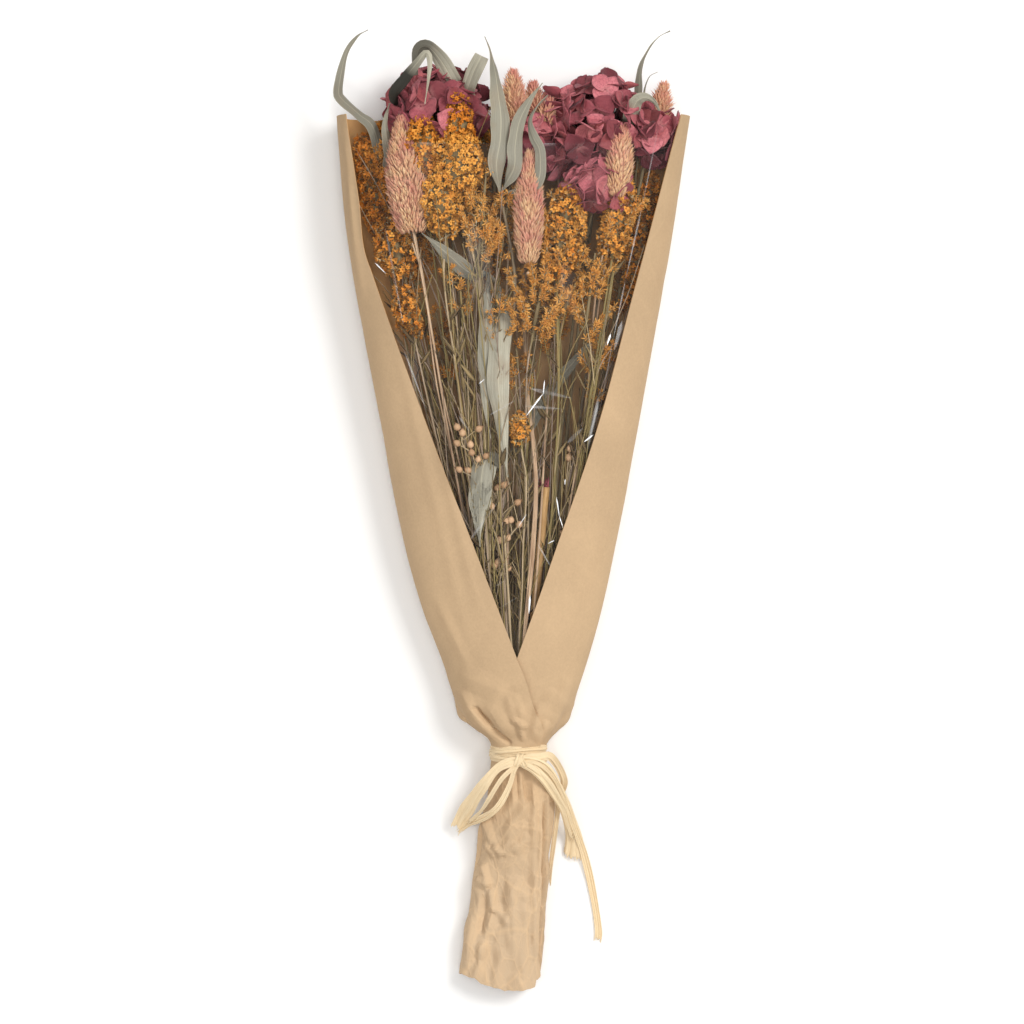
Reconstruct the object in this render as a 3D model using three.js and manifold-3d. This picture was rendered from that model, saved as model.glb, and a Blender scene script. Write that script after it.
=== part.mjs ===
// A dried flower bouquet in a kraft paper sleeve with a clear window, tied with raffia and laid on its back.
// Millimetres. +Y runs towards the blooms, +Z up from the table. The origin is on the table, under the
// middle of the sleeve's back. Each flower is one solid: its stem, from the foot of the bunch, and its head.

import * as THREE from "three";
import { mergeVertices } from "three/addons/utils/BufferGeometryUtils.js";
import Module from "manifold-3d";

const wasm = await Module();
wasm.setup();

// ---------------------------------------------------------------- driving dimensions of the sleeve
const PAPER = 0.8; // thickness of the sleeve
const FILM = 0.6; // thickness of the window
const GAP = 0.35; // air left between two pieces that touch
const TOP = 206; // y of the sleeve's mouth
const FOOT = -250; // y of the sleeve's cut foot
const VEE = -76; // y of the point of the window, where the two flaps meet
const NECK = -126; // y of the tie
const BELLY = 0.42; // share of the height at which the sleeve is widest
const FLAP_LIFT = 1.5; // how far the left flap lies over the right one
const PLEATS = 7; // folds gathered round the neck
const FILM_TUCK = 0.16; // radians that the window runs on under each flap
const INNER = 2; // clear space kept between the sleeve and the stems

// The sleeve's outline as it lies: y, left edge, right edge, underside, top.
const OUTLINE = [
  [TOP, -89.4, 92.4, 0, 62],
  [146, -84, 83.4, 0, 60],
  [72, -71.5, 70.4, 0, 53],
  [0, -58, 57.2, 0, 45],
  [-50, -45.4, 47, 0, 38],
  [-80, -34.6, 39, 0, 34.5],
  [-104, -25.6, 30.5, 0.8, 32],
  [-118, -10.6, 17.6, 2.2, 27.2],
  [NECK, -10.1, 17.1, 2.2, 26.6],
  [-134, -10.4, 17.4, 2.2, 26.6],
  [-156, -16.2, 21.4, 0.8, 25],
  [-200, -20.6, 18.4, 0, 20],
  [FOOT, -27.4, 14, 0, 15],
];

// The flaps' inner edges, from the window's point to the mouth: y, x.
const LEFT_FLAP = [
  [VEE, 2.6],
  [129, -73],
  [162, -77.5],
  [TOP, -84.4],
];
const RIGHT_FLAP = [
  [VEE, 2.6],
  [-34, 17.6],
  [38, 42.4],
  [120, 64.6],
  [TOP, 87.6],
];

const WRAP_ROWS = [ // y at which the sleeve has its rings of points
  TOP, 172, 134, 92, 48, 4, -34, -60, VEE, -90, -101, -110, -118, NECK, -134, -144, -158, -182, -216, FOOT,
];
const WRAP_COLUMNS = 18; // facets of the sleeve from one flap round to the other
const FOOT_SLANT = 8; // how much shorter the foot is cut on the left

// Folds gathered by the tie: height as a share of the sleeve's width, y, and reach along it.
const GATHERS = [
  [0.07, NECK + 17, 9],
  [0.07, NECK - 20, 11],
  [0.02, FOOT, 30],
];
const PLEAT_TURN = 0.6; // radians by which the folds are turned round the neck
const FRONT_ROUND = 0.9; // how the front bends down to its sides: 1 is an ellipse, less is fuller
const BACK_ROUND = 0.8;
const BACK_FULL = 1.25; // the back is as much deeper than its ellipse and then cut flat on the table
const CEILING_ROUND = 0.45;
const CEILING_EDGE = 0.985; // share of the half width past which the upper face falls no further
const LIFT_ANGLES = [1.15 * Math.PI, 1.5 * Math.PI]; // the left flap rises off its outline between these
const OVER_ANGLES = [0.35 * Math.PI, 0.65 * Math.PI]; // the tie comes down off it again between these

// Below the window the flaps pass each other by an angle that grows over a run of y, and grows further below
// the neck.
const OVERLAP = { angle: 0.95, run: 45, more: 0.25, moreRun: 60 };

const FILM_ROWS = [-88, -64, -30, 10, 52, 94, 136, 166, 189];
const FILM_COLUMNS = 8;
const FILM_CORNER = 12; // how much higher the window's upper edge runs at its corners
const FILM_END = 0.02; // radians that the window's lower end stands out on either side

const BAND_WIDTH = 5.2; // each of the two turns of raffia round the neck
const BAND_THICK = 1;
const BAND_CLEAR = 1;
const BAND_STEPS = 20;
const TURNS = [[2.2, 0.5], [-2, -0.6]]; // each turn's place along the neck and its tilt
const TURN_START = 0.5; // radians round the neck at which a turn crosses its own middle
const RAFFIA_THICK = 0.9;
const KNOT_SIZE = [4.2, 3.4, 2];

// The bow: width, roll at both ends, steps, and points x, y, z from the knot out.
const KNOT = [4, -130, 32.6];
const BOW = [
  { width: 5, roll: [0, 0.5], steps: 9, // the left loop's outer leg
    points: [KNOT, [-4, -137, 31.6], [-14, -148, 27.5], [-24, -160, 17], [-30, -168, 8],
      [-27, -170.5, 4.4], [-22, -165, 6]] },
  { width: 4, roll: [0.4, 0], steps: 7, // its inner leg
    points: [KNOT, [2, -143, 32.4], [-5, -155, 31.5], [-13, -164, 27], [-21, -166, 17],
      [-24.6, -164.6, 12]] },
  { width: 4.6, roll: [0, 1.2], steps: 9, // the right loop's outer leg
    points: [KNOT, [13, -126, 32.2], [21.6, -129, 26.5], [27, -138, 18], [28.6, -147, 12],
      [26.4, -158, 8], [25, -172, 5], [22, -184, 3.4]] },
  { width: 5, roll: [0, 0.3], steps: 7, // its inner leg
    points: [KNOT, [12.6, -138, 32], [21, -146, 27.4], [27, -158, 16], [30, -171, 6.4],
      [32.5, -184, 1.6]] },
  { width: 3.4, roll: [0, 0], steps: 9, taper: 1.3, // the long tail
    points: [KNOT, [15, -132, 32], [25, -142, 25.6], [33, -158, 12], [37, -178, 3.4], [41, -198, 1.1],
      [44.5, -220, 0.9], [45, -226, 0.9]] },
];

// ---------------------------------------------------------------- driving dimensions of the flowers
// Depth is 0 at the back of the sleeve and 1 just under the window. Every plant has a base, where its
// head begins and its stem ends, and a stem radius.

// Seed spikes of canary grass: base x, y; tip x, y; greatest width; depth.
const SPIKES = [
  ["left", [-51.5, 147], [-56.5, 205], 21, 0.99],
  ["centre", [8.3, 131], [9.2, 186], 14.5, 0.99],
  ["right", [54, 164.5], [57.2, 199.5], 13, 0.99],
  ["top_left", [1.5, 203], [0.5, 229], 11.5, 0.62],
  ["top_middle", [12.5, 203], [11, 224], 10, 0.42],
  ["top_right", [75, 196], [79.5, 224], 11, 0.5],
  ["top_inner", [30.5, 197], [33.5, 214], 9, 0.9],
];

// Mopheads of hydrangea: centre x, y; radius; depth; florets.
const MOPHEADS = [
  ["left", [-38, 214], 23, 0.5, 17],
  ["right", [47, 201], 25, 0.5, 19],
  ["middle", [15, 190], 16, 0.45, 8],
  ["edge", [72, 196], 13.5, 0.78, 6],
  ["low", [44, 168], 13, 0.9, 6],
];

// Plumes of dyed goldenrod: base x, y; tip x, y; width; depth.
const PLUMES = [
  ["left_edge", [-69.5, 146], [-77, 194], 13, 0.5],
  ["left_back", [-61, 158], [-67, 200], 15, 0.42],
  ["upper_left", [-42.6, 174], [-42.8, 207], 21, 0.72],
  ["upper_middle", [-25, 179], [-26, 217], 22, 0.62],
  ["dome_high", [-28, 163], [-27, 195], 28, 0.98],
  ["dome_low", [-33, 144], [-36, 177], 22, 0.97],
  ["centre_long", [-17.7, 131], [-13, 178], 20, 0.97],
  ["centre_right", [-10.4, 127], [-4, 166], 15, 0.72],
  ["left_middle", [-55.6, 118], [-64, 150], 20, 0.68],
  ["left_low", [-51, 92], [-58, 117], 15, 0.8],
  ["centre_low", [-25.5, 103], [-28, 128], 13, 0.85],
  ["middle_small", [-6.2, 90], [-7.8, 111], 16, 0.9],
  ["middle_big", [9, 86], [17, 124], 27, 0.92],
  ["right_high", [26, 118], [31, 164], 20, 0.9],
  ["right_middle", [37, 87], [42, 132], 21, 0.86],
  ["right_upper", [53, 137], [59, 168], 17, 0.9],
  ["right_edge", [62, 110], [73, 172], 12, 0.55],
  ["right_low", [40.6, 62], [45.8, 88], 13, 0.8],
  ["middle_low", [5.2, 64], [1, 86], 16, 0.6],
  ["lowest", [4.7, 34], [3.6, 49], 8.5, 0.9],
  ["back_left", [-46, 144], [-54, 204], 24, 0.08],
  ["back_middle", [-9, 150], [-12, 207], 26, 0.12],
  ["back_right", [56, 128], [66, 188], 22, 0.1],
  ["back_low", [18, 60], [26, 104], 19, 0.2],
  ["left_dark", [-37, 66], [-46, 100], 16, 0.35],
];

// Leafy stems of willow eucalyptus: base x, y; depth; leaves as width, roll at both ends, and points x, y, z
// that follow the base.
const LEAFY = [
  { name: "left", base: [-66, 172], depth: 0.3, leaves: [
    { width: 6.4, roll: [0.1, 1.1], points: [[-73, 202, 33], [-80, 207, 35], [-87.5, 211, 37],
      [-90, 219, 38], [-88.6, 230, 39], [-85, 239, 40], [-79.5, 246, 41], [-74.5, 249.4, 41]] },
    { width: 6, roll: [0, 0.6], points: [[-64, 186, 34], [-66, 200, 38], [-64.4, 216, 36]] },
  ] },
  { name: "top_left", base: [-40, 190], depth: 0.08, leaves: [
    { width: 8, roll: [0.9, -0.5], points: [[-52, 214, 8], [-52.4, 228, 12], [-48.6, 238, 20],
      [-42.2, 243.4, 25], [-35, 237, 29], [-29, 227, 29], [-26, 219, 26]] },
    { width: 7.4, roll: [0, 0.4], points: [[-27, 208, 20], [-22.6, 222, 24], [-18.6, 234, 27],
      [-14, 235.6, 24], [-13, 226, 18]] },
    { width: 6, roll: [0.4, -0.2], points: [[-62, 212, 40], [-54, 225, 50], [-46, 233.6, 56],
      [-42.4, 227, 60], [-43, 218, 61], [-45, 210, 60]] },
  ] },
  { name: "centre", base: [-6, 164], depth: 0.8, leaves: [
    { width: 9, roll: [0.2, 0.9], points: [[-8, 178, 54], [-6, 190, 55.6], [-6, 202, 57.4],
      [-8, 216, 59], [-9.6, 229, 59.4], [-11.6, 238, 58], [-14, 244, 56]] },
    { width: 7.8, roll: [-0.3, 0.6], points: [[1, 176, 54], [1.2, 188, 56], [3, 200, 58],
      [9, 211, 59], [16, 221, 57.6]] },
    { width: 5.6, roll: [0.2, -0.9], points: [[12, 168, 54], [14.6, 184, 56.6], [11, 193, 57.6],
      [9.4, 201, 58.4], [13, 208, 58], [18.4, 214, 56]] },
  ] },
  { name: "right", base: [64, 190], depth: 0.2, leaves: [
    { width: 4.6, roll: [0.5, 1.3], points: [[66, 208, 20], [66.4, 221, 26], [67.4, 231, 30],
      [70.6, 240, 33], [76, 246, 35], [82, 249.4, 36]] },
    { width: 7.4, roll: [0, 0.2], points: [[60.6, 203, 34], [58.6, 211, 44], [62, 216.6, 50],
      [68, 217.6, 52], [74, 214, 50], [73, 208, 44]] },
  ] },
  { name: "middle", base: [-12, 124], depth: 0.5, leaves: [
    { width: 10.4, roll: [0, 0.1], points: [[-9, 112, 36], [-6.4, 92, 38], [-5, 76, 40],
      [-2.4, 57, 39], [-0.4, 38, 36], [1.2, 19.4, 33]] },
    { width: 7.6, roll: [-0.2, 0], points: [[-14, 108, 33], [-13.6, 86, 34], [-13.4, 66, 33],
      [-14.4, 49, 31]] },
    { width: 7.6, roll: [0.2, -0.2], points: [[-22, 124, 41], [-31, 131, 45], [-40, 138.6, 47],
      [-46.4, 143.6, 47]] },
  ] },
  { name: "low", base: [-5, 22], depth: 0.55, leaves: [
    { width: 10.4, roll: [0.2, -0.2], points: [[-12, 14, 31], [-17, 3, 31], [-15, -10, 29],
      [-14.6, -22, 27]] },
    { width: 6, roll: [0, 0.3], points: [[6, 40, 30], [22, 66, 34], [42, 90, 36], [52, 105, 35]] },
  ] },
];

// Sprays of flax bolls: base x, y; depth; bolls x, y.
const BOLLS = [
  ["left", [-17, 12], 0.88, [[-17, 43], [-22, 35], [-21, 30.6], [-17.4, 28], [-13.4, 29], [-27, 22],
    [-22.6, 21.4]]],
  ["middle", [-4, -12], 0.86, [[-15, 12], [-10, 15], [-11, 2.6], [-4.6, 13.4], [3, 4.8], [-8, 8]]],
  ["low", [-5, -36], 0.8, [[-3, -5], [1, -4.8], [3.4, -8], [-2.6, -15], [-8, -14.6], [-10, -28.6],
    [-2, -31]]],
  ["right", [30, 4], 0.6, [[31.6, 28.4], [36, 28.4], [34, 19]]],
];
const BOLL_RADIUS = 1.7;

const STALK = { base: [17.6, 13], depth: 0.8, radius: 2.3 };
const STEM_RADIUS = { spike: 0.75, leafy: 0.95, bolls: 0.8, mophead: 1.5, plume: 0.85 };
const STEM_SIDES = { stalk: 6, spike: 3, leafy: 4, bolls: 3, mophead: 4, plume: 3 };
const RUN_ON = 2.6; // how far a stem runs on into its head, in radii
const STEM_END = 0.6; // its radius there, as a share

// A head of points: radius of the hollows between them, as a share, how far a point reaches into the next
// level, the height of a level, and how flat the head is.
const SPIKE_HEAD = { valley: 0.66, reach: 0.7, level: 6.2, flat: 1 };
const PLUME_HEAD = { valley: 0.46, reach: 0.75, level: 7.4, flat: 0.74 };
const PLUME_SWELL = 1.08; // a plume's points reach as much past its width
const PLUME_LOBES = 0.14; // and its lobes stand out by this share
const PLUME_PHASE = 2.1; // radians that turn the lobes from one plume to the next
const RAGGED = 0.22; // how much shorter some points are than others
const RAGGED_STEPS = [12.9, 78.2]; // radians that scatter the short points along and round a head

const SEPAL = 8.8;
const PEAK = 1.7; // height of a floret's middle above its rim
const NOTCH = 0.5; // radius between two sepals, as a share of their reach
const CORE = 0.74; // radius of the ball under the florets, and of the point they narrow down to, as shares
const ROOT = 0.34;
const FLATTEST = 0.92;
const FLORET_TURN = 1.1; // radians by which each floret is turned against the one before

const LEAF = 0.8; // thickness of a leaf
const LEAF_CLEAR = 0.6; // a folded leaf needs more air round it
const LEAF_WAVE = 0.05; // height of its waved edges and of its arch, as shares of its width
const LEAF_ARCH = 0.08;
const TWIG = 0.6;

// How much further than the air round them these grow, since their sides slope.
const SLOPE = { sepal: 1.3, twig: 1.5, boll: 1.2, edge: 1.2, leaf: 2.4 };
const TIDY = 0.06; // facets smaller than this are merged

// The course of the stems.
const LEVELS = [-214, -162, NECK, -98, -50, 10, 66, 118, 168];
const PASSES = 500;
const SETTLED = 0.75; // share of the passes after which stems are no longer drawn straight
const FIRM = 0.3; // share of an overlap that a pass takes away
const FIRM_LAST = 0.56; // the same between stems once they have settled
const SAMPLE_STEP = 7;
const STEM_GAP = 0.2; // half the air between two stems
const FIRST_SPREAD = 0.62; // how wide the bunch starts at the neck, as a share of the sleeve
const HEAD_ROOM = 9; // least distance from a stem's last point to the head
const STRIDE = 1.5; // how far a point moves in one pass at most
const STRAIGHTEN = 0.05; // how much straighter a stem is drawn in a pass
const FOOT_RAGGED = 0.4; // how much shorter the shortest stem ends, as a share of its first span
const GOLDEN = Math.PI * (3 - Math.sqrt(5)); // the turn round a ball from one floret to the next

// ---------------------------------------------------------------- small tools
const v3 = (x, y, z) => new THREE.Vector3(x, y, z);
const clamp = (x, low, high) => Math.min(high, Math.max(low, x));
const mix = (a, b, t) => a + (b - a) * t;
const bump = (y, centre, spread) => Math.exp(-(((y - centre) / spread) ** 2));

// Column `c` of a table sorted by falling or rising y, read at y along a smooth curve.
function lookUp(table, y, c) {
  const rows = table[0][0] < table.at(-1)[0] ? table : [...table].reverse();
  const slope = (i) => {
    const a = rows[Math.max(i - 1, 0)];
    const b = rows[Math.min(i + 1, rows.length - 1)];
    return (b[c] - a[c]) / (b[0] - a[0]);
  };
  const k = clamp(rows.findIndex((r) => r[0] > y) - 1, 0, rows.length - 2);
  const i = y >= rows.at(-1)[0] ? rows.length - 2 : k;
  const span = rows[i + 1][0] - rows[i][0];
  const t = clamp((y - rows[i][0]) / span, 0, 1);
  const [t2, t3] = [t * t, t * t * t];
  return (
    (2 * t3 - 3 * t2 + 1) * rows[i][c] +
    (t3 - 2 * t2 + t) * span * slope(i) +
    (3 * t2 - 2 * t3) * rows[i + 1][c] +
    (t3 - t2) * span * slope(i + 1)
  );
}

const positions = (points) => new THREE.Float32BufferAttribute(points.flatMap((p) => p.toArray()), 3);

// A closed skin through rings of points. A ring runs along one face and back along the other,
// and both faces are split alike, so that a thin blade never crosses itself.
function loft(rings, { closed = false, split = (i, k, n) => i < n / 2 } = {}) {
  const n = rings[0].length;
  const spans = closed ? rings.length : rings.length - 1;
  const faces = [];
  for (let k = 0; k < spans; k++) {
    const next = ((k + 1) % rings.length) * n;
    for (let i = 0; i < n; i++) {
      const [a, b, c, d] = [k * n + i, k * n + ((i + 1) % n), next + i, next + ((i + 1) % n)];
      if (split(i, k, n)) faces.push(a, b, d, a, d, c);
      else faces.push(a, b, c, b, d, c);
    }
  }
  const last = (rings.length - 1) * n;
  for (let i = 0; !closed && i < n / 2 - 1; i++) {
    const [a, b, c, d] = [i, i + 1, n - 2 - i, n - 1 - i];
    faces.push(b, a, d, last + a, last + b, last + d);
    if (c !== b) faces.push(b, d, c, last + b, last + c, last + d);
  }
  return new THREE.BufferGeometry()
    .setAttribute("position", positions(rings.flat()))
    .setIndex(faces);
}

// A geometry as a solid with its faces pointing out.
function solid(geometry) {
  const bare = geometry.index ? geometry.toNonIndexed() : geometry.clone();
  bare.deleteAttribute("normal");
  bare.deleteAttribute("uv");
  const merged = mergeVertices(bare, 1e-4);
  const mesh = (order) =>
    new wasm.Mesh({
      numProp: 3,
      vertProperties: merged.attributes.position.array,
      triVerts: new Uint32Array(order),
    });
  const index = [...merged.index.array];
  const made = new wasm.Manifold(mesh(index));
  return made.volume() >= 0 ? made : new wasm.Manifold(mesh(index.reverse()));
}

const union = (parts) => wasm.Manifold.union(parts);

// The largest body of a solid: scraps that a cut leaves loose are dropped.
function largest(made) {
  return made.decompose().reduce((a, b) => (b.volume() > a.volume() ? b : a));
}

function geometryOf(made) {
  const mesh = made.getMesh();
  return new THREE.BufferGeometry()
    .setAttribute("position", new THREE.BufferAttribute(mesh.vertProperties, 3))
    .setIndex(new THREE.BufferAttribute(mesh.triVerts, 1));
}

// ---------------------------------------------------------------- the sleeve's surface
function section(y) {
  const [left, right, base, top] = [1, 2, 3, 4].map((c) => lookUp(OUTLINE, y, c));
  return { cx: (left + right) / 2, half: (right - left) / 2, base, top };
}

// Height of the gathers at y, as a share of the sleeve's width.
const gather = (y) => GATHERS.reduce((sum, [height, at, reach]) => sum + height * bump(y, at, reach), 0);

// The point of the sleeve at y and angle phi, `inset` inside its outer face. Phi is 0 at the middle
// of the front, rises to the right, and is half a turn at the back, which lies flat on the table.
function wrapPoint(y, phi, inset) {
  const s = section(y);
  const fold = 1 + gather(y) * Math.cos(PLEATS * phi + PLEAT_TURN);
  const middle = mix(s.base, s.top, BELLY);
  const c = Math.cos(phi);
  const x = s.cx + (s.half - inset) * fold * Math.sin(phi);
  if (c > 0) return v3(x, y, middle + (s.top - inset - middle) * fold * c ** FRONT_ROUND);
  return v3(x, y, middle - (middle - inset - s.base) * Math.min(1, BACK_FULL * fold * (-c) ** BACK_ROUND));
}

// How far the sleeve stands off its outline at phi: the left flap rises to lie over the right one.
const liftAt = (phi) => FLAP_LIFT * THREE.MathUtils.smoothstep(phi, ...LIFT_ANGLES);

// The angle phi of a point of the front at y and x.
function phiAt(y, x) {
  const s = section(y);
  return Math.asin(clamp((x - s.cx) / s.half, -0.999, 0.999));
}

// The angles of the two flaps' edges. Below the window they pass each other, the left one on top.
function flapAngles(y) {
  if (y >= VEE) return [phiAt(y, lookUp(LEFT_FLAP, y, 1)), phiAt(y, lookUp(RIGHT_FLAP, y, 1))];
  const past = clamp((VEE - y) / OVERLAP.run, 0, 1);
  const over = OVERLAP.angle * past + OVERLAP.more * clamp((NECK - y) / OVERLAP.moreRun, 0, 1);
  return [over, -over];
}

// Height of the sleeve's or window's upper face at x and y, less `inset`.
function ceiling(x, y, inset) {
  const s = section(Math.min(y, TOP));
  const across = clamp(Math.abs(x - s.cx) / (s.half - inset), 0, CEILING_EDGE);
  const middle = mix(s.base, s.top, BELLY);
  return middle + (s.top - inset - middle) * (1 - across ** 2) ** CEILING_ROUND;
}
function floorAt(y, inset) {
  return section(Math.min(y, TOP)).base + inset;
}

// ---------------------------------------------------------------- sleeve, window and tie

function paperWrap() {
  const rings = WRAP_ROWS.map((y) => {
    const [left, right] = flapAngles(y);
    const faceAt = (inset) =>
      Array.from({ length: WRAP_COLUMNS + 1 }, (_, i) => {
        const phi = mix(right, left + 2 * Math.PI, i / WRAP_COLUMNS);
        const p = wrapPoint(y, phi, inset - liftAt(phi));
        if (y === FOOT) p.y += FOOT_SLANT * Math.max(0, -Math.sin(phi)) ** 2;
        p.z = Math.max(p.z, inset);
        return p;
      });
    return [...faceAt(0), ...faceAt(PAPER).reverse()];
  });
  return solid(loft(rings));
}

function filmWindow() {
  const inset = PAPER + 2 * GAP;
  const rings = FILM_ROWS.map((y) => {
    const [left, right] = y >= VEE ? flapAngles(y) : [-FILM_END, FILM_END];
    const faceAt = (depth) =>
      Array.from({ length: FILM_COLUMNS + 1 }, (_, i) => {
        const s = (2 * i) / FILM_COLUMNS - 1;
        const phi = mix(left - FILM_TUCK, right + FILM_TUCK, (s + 1) / 2);
        const row = y === FILM_ROWS.at(-1) ? y + FILM_CORNER * Math.abs(s) ** 3 : y;
        return wrapPoint(row, phi, depth);
      });
    return [...faceAt(inset), ...faceAt(inset + FILM).reverse()];
  });
  return solid(loft(rings));
}

// Two turns of raffia, side by side and fused, wound round the gathered neck.
function raffiaBand() {
  const turn = (offset, tilt) => {
    const rings = Array.from({ length: BAND_STEPS }, (_, k) => {
      const phi = (2 * Math.PI * k) / BAND_STEPS;
      const over = FLAP_LIFT * (1 - THREE.MathUtils.smoothstep(phi, ...OVER_ANGLES));
      const out = BAND_CLEAR + Math.max(over, liftAt(phi));
      const at = (dy, depth) => {
        const p = wrapPoint(NECK, phi, -depth);
        p.y += offset + tilt * Math.sin(phi + TURN_START) + dy;
        return p;
      };
      const half = BAND_WIDTH / 2;
      return [at(-half, out), at(half, out), at(half, out + BAND_THICK), at(-half, out + BAND_THICK)];
    });
    return solid(loft(rings, { closed: true }));
  };
  return union(TURNS.map(([offset, tilt]) => turn(offset, tilt)));
}

// A flat strip along a smooth path, turned about it by `roll` radians from face up.
function strip(points, width, thick, { steps = 10, roll = [0, 0], taper = 1 } = {}) {
  const path = new THREE.CatmullRomCurve3(points.map((p) => v3(...p)));
  const rings = Array.from({ length: steps + 1 }, (_, k) => {
    const f = k / steps;
    const { p, side, up } = frameOn(path, f, mix(roll[0], roll[1], f));
    const half = (width / 2) * mix(1, taper, f);
    const corner = (s, u) => p.clone().addScaledVector(side, s * half).addScaledVector(up, (u * thick) / 2);
    return [corner(-1, 1), corner(1, 1), corner(1, -1), corner(-1, -1)];
  });
  return solid(loft(rings));
}

// Point, side and upward directions at share f of a path.
function frameOn(path, f, roll) {
  const p = path.getPointAt(f);
  const along = path.getTangentAt(f);
  const side = v3().crossVectors(along, v3(0, 0, 1));
  if (side.length() < 0.05) side.set(1, 0, 0);
  side.normalize().applyAxisAngle(along, roll);
  return { p, side, up: v3().crossVectors(side, along).normalize() };
}

function raffiaBow() {
  const parts = BOW.map((b) => strip(b.points, b.width, RAFFIA_THICK, b));
  const knot = new THREE.SphereGeometry(1, 8, 5).scale(...KNOT_SIZE).translate(...KNOT);
  return union([...parts, solid(knot)]);
}

// ---------------------------------------------------------------- the plants

// A point inside the sleeve at x and y, with room for `radius`, at a depth.
function inside(x, y, depth, radius) {
  const low = floorAt(y, INNER) + radius;
  const high = ceiling(x, y, INNER) - radius;
  return v3(x, y, high > low ? mix(low, high, depth) : (low + high) / 2);
}

// The twigs of a spray: each boll's twig forks off the twig of the nearest boll before it.
function forks(base, bolls) {
  const twigs = [];
  for (const to of [...bolls].sort((a, b) => a.distanceTo(base) - b.distanceTo(base))) {
    const nearer = (a, b) => (b.to.distanceTo(to) < a.to.distanceTo(to) ? b : a);
    const parent = twigs.length ? twigs.reduce(nearer) : null;
    twigs.push({ from: parent ? parent.from.clone().lerp(parent.to, 0.5) : base, to });
  }
  return twigs;
}

const leafPath = (base, l) => new THREE.CatmullRomCurve3([base, ...l.points.map((q) => v3(...q))]);

const plants = [
  { kind: "stalk", name: "thick_stalk", radius: STALK.radius,
    base: inside(...STALK.base, STALK.depth, STALK.radius) },
  ...SPIKES.map(([name, base, tip, width, depth]) => ({
    kind: "spike", name: "canary_grass_" + name, width,
    base: inside(...base, depth, width / 2), tip: inside(...tip, depth, width / 2),
  })),
  ...LEAFY.map(({ name, base, depth, leaves }) => ({
    kind: "leafy", name: "eucalyptus_" + name, base: inside(...base, depth, 1.5), leaves,
  })),
  ...BOLLS.map(([name, base, depth, bolls]) => {
    const from = inside(...base, depth, 2);
    const spots = bolls.map(([x, y]) => inside(x, y, depth, BOLL_RADIUS));
    return { kind: "bolls", name: "flax_" + name, base: from, twigs: forks(from, spots) };
  }),
  ...MOPHEADS.map(([name, [x, y], head, depth, florets]) => {
    const centre = inside(x, y, depth, head);
    return {
      kind: "mophead", name: "hydrangea_" + name, centre, head, florets,
      base: v3(x * 0.97, y - head * 0.5, centre.z),
    };
  }),
  ...PLUMES.map(([name, base, tip, width, depth], i) => ({
    kind: "plume", name: "goldenrod_" + name, width, phase: i * PLUME_PHASE,
    base: inside(...base, depth, width * 0.36), tip: inside(...tip, depth, width * 0.36),
  })),
].map((p) => ({ radius: STEM_RADIUS[p.kind], sides: STEM_SIDES[p.kind], ...p }));

// Balls that stand for the heads and leaves while the stems find their way past them.
function ballsOf(p) {
  const along = (f, r) => ({ c: p.base.clone().lerp(p.tip, f), r });
  if (p.kind === "spike") return [0.15, 0.4, 0.65, 0.9].map((f) => along(f, p.width * 0.44));
  if (p.kind === "plume") return [0.3, 0.7].map((f) => along(f, p.width * 0.36));
  if (p.kind === "mophead") return [{ c: p.centre, r: p.head * 0.62 }];
  if (p.kind === "bolls")
    return p.twigs.flatMap(({ from, to }) => [
      { c: to, r: BOLL_RADIUS + 0.4, hard: true },
      { c: from.clone().lerp(to, 0.5), r: 1.2, hard: true },
    ]);
  if (p.kind === "leafy")
    return p.leaves.flatMap((l) => {
      const path = leafPath(p.base, l);
      const spots = path.getSpacedPoints(Math.round(path.getLength() / (0.7 * l.width)));
      return spots.slice(1).map((c) => ({ c, r: l.width * 0.42, hard: true }));
    });
  return [];
}

// ---------------------------------------------------------------- stems

// A first course for a stem: the plant's place in the sleeve's mouth, drawn together towards the neck.
function firstCourse(p) {
  const at = section(Math.min(p.base.y, TOP));
  const across = (p.base.x - at.cx) / at.half;
  const rise = (p.base.z - mix(at.base, at.top, 0.5)) / (at.top - at.base);
  const stem = LEVELS.filter((y) => y < p.base.y - HEAD_ROOM).map((y) => {
    const s = section(y);
    const spread = mix(FIRST_SPREAD, 1, clamp((y - NECK) / (p.base.y - NECK), 0, 1));
    const height = mix(s.base, s.top, 0.5) + rise * spread * (s.top - s.base);
    return v3(s.cx + across * spread * s.half, y, height);
  });
  return [...stem, p.base.clone()];
}

// Moves a stem's two points on either side of share t of span k.
function shove(p, k, t, dx, dz) {
  p.push[k].x += dx * (1 - t);
  p.push[k].z += dz * (1 - t);
  p.push[k + 1].x += dx * t;
  p.push[k + 1].z += dz * t;
}

// What there is at a few heights: the stems that pass, and the balls they have to go round.
function slices() {
  const made = [];
  for (let y = LEVELS[0] + 1; y < TOP; y += SAMPLE_STEP) {
    const stems = plants.flatMap((p) => {
      const k = p.stem.findIndex((q) => q.y > y) - 1;
      return k < 0 ? [] : [{ p, k, t: (y - p.stem[k].y) / (p.stem[k + 1].y - p.stem[k].y), x: 0, z: 0 }];
    });
    const balls = plants.flatMap((p) =>
      ballsOf(p).filter((b) => Math.abs(y - b.c.y) < b.r).map((b) => ({
        p, hard: b.hard, x: b.c.x, z: b.c.z, r: Math.sqrt(b.r ** 2 - (y - b.c.y) ** 2),
      })),
    );
    made.push({ stems, balls, s: section(y) });
  }
  return made;
}

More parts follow.
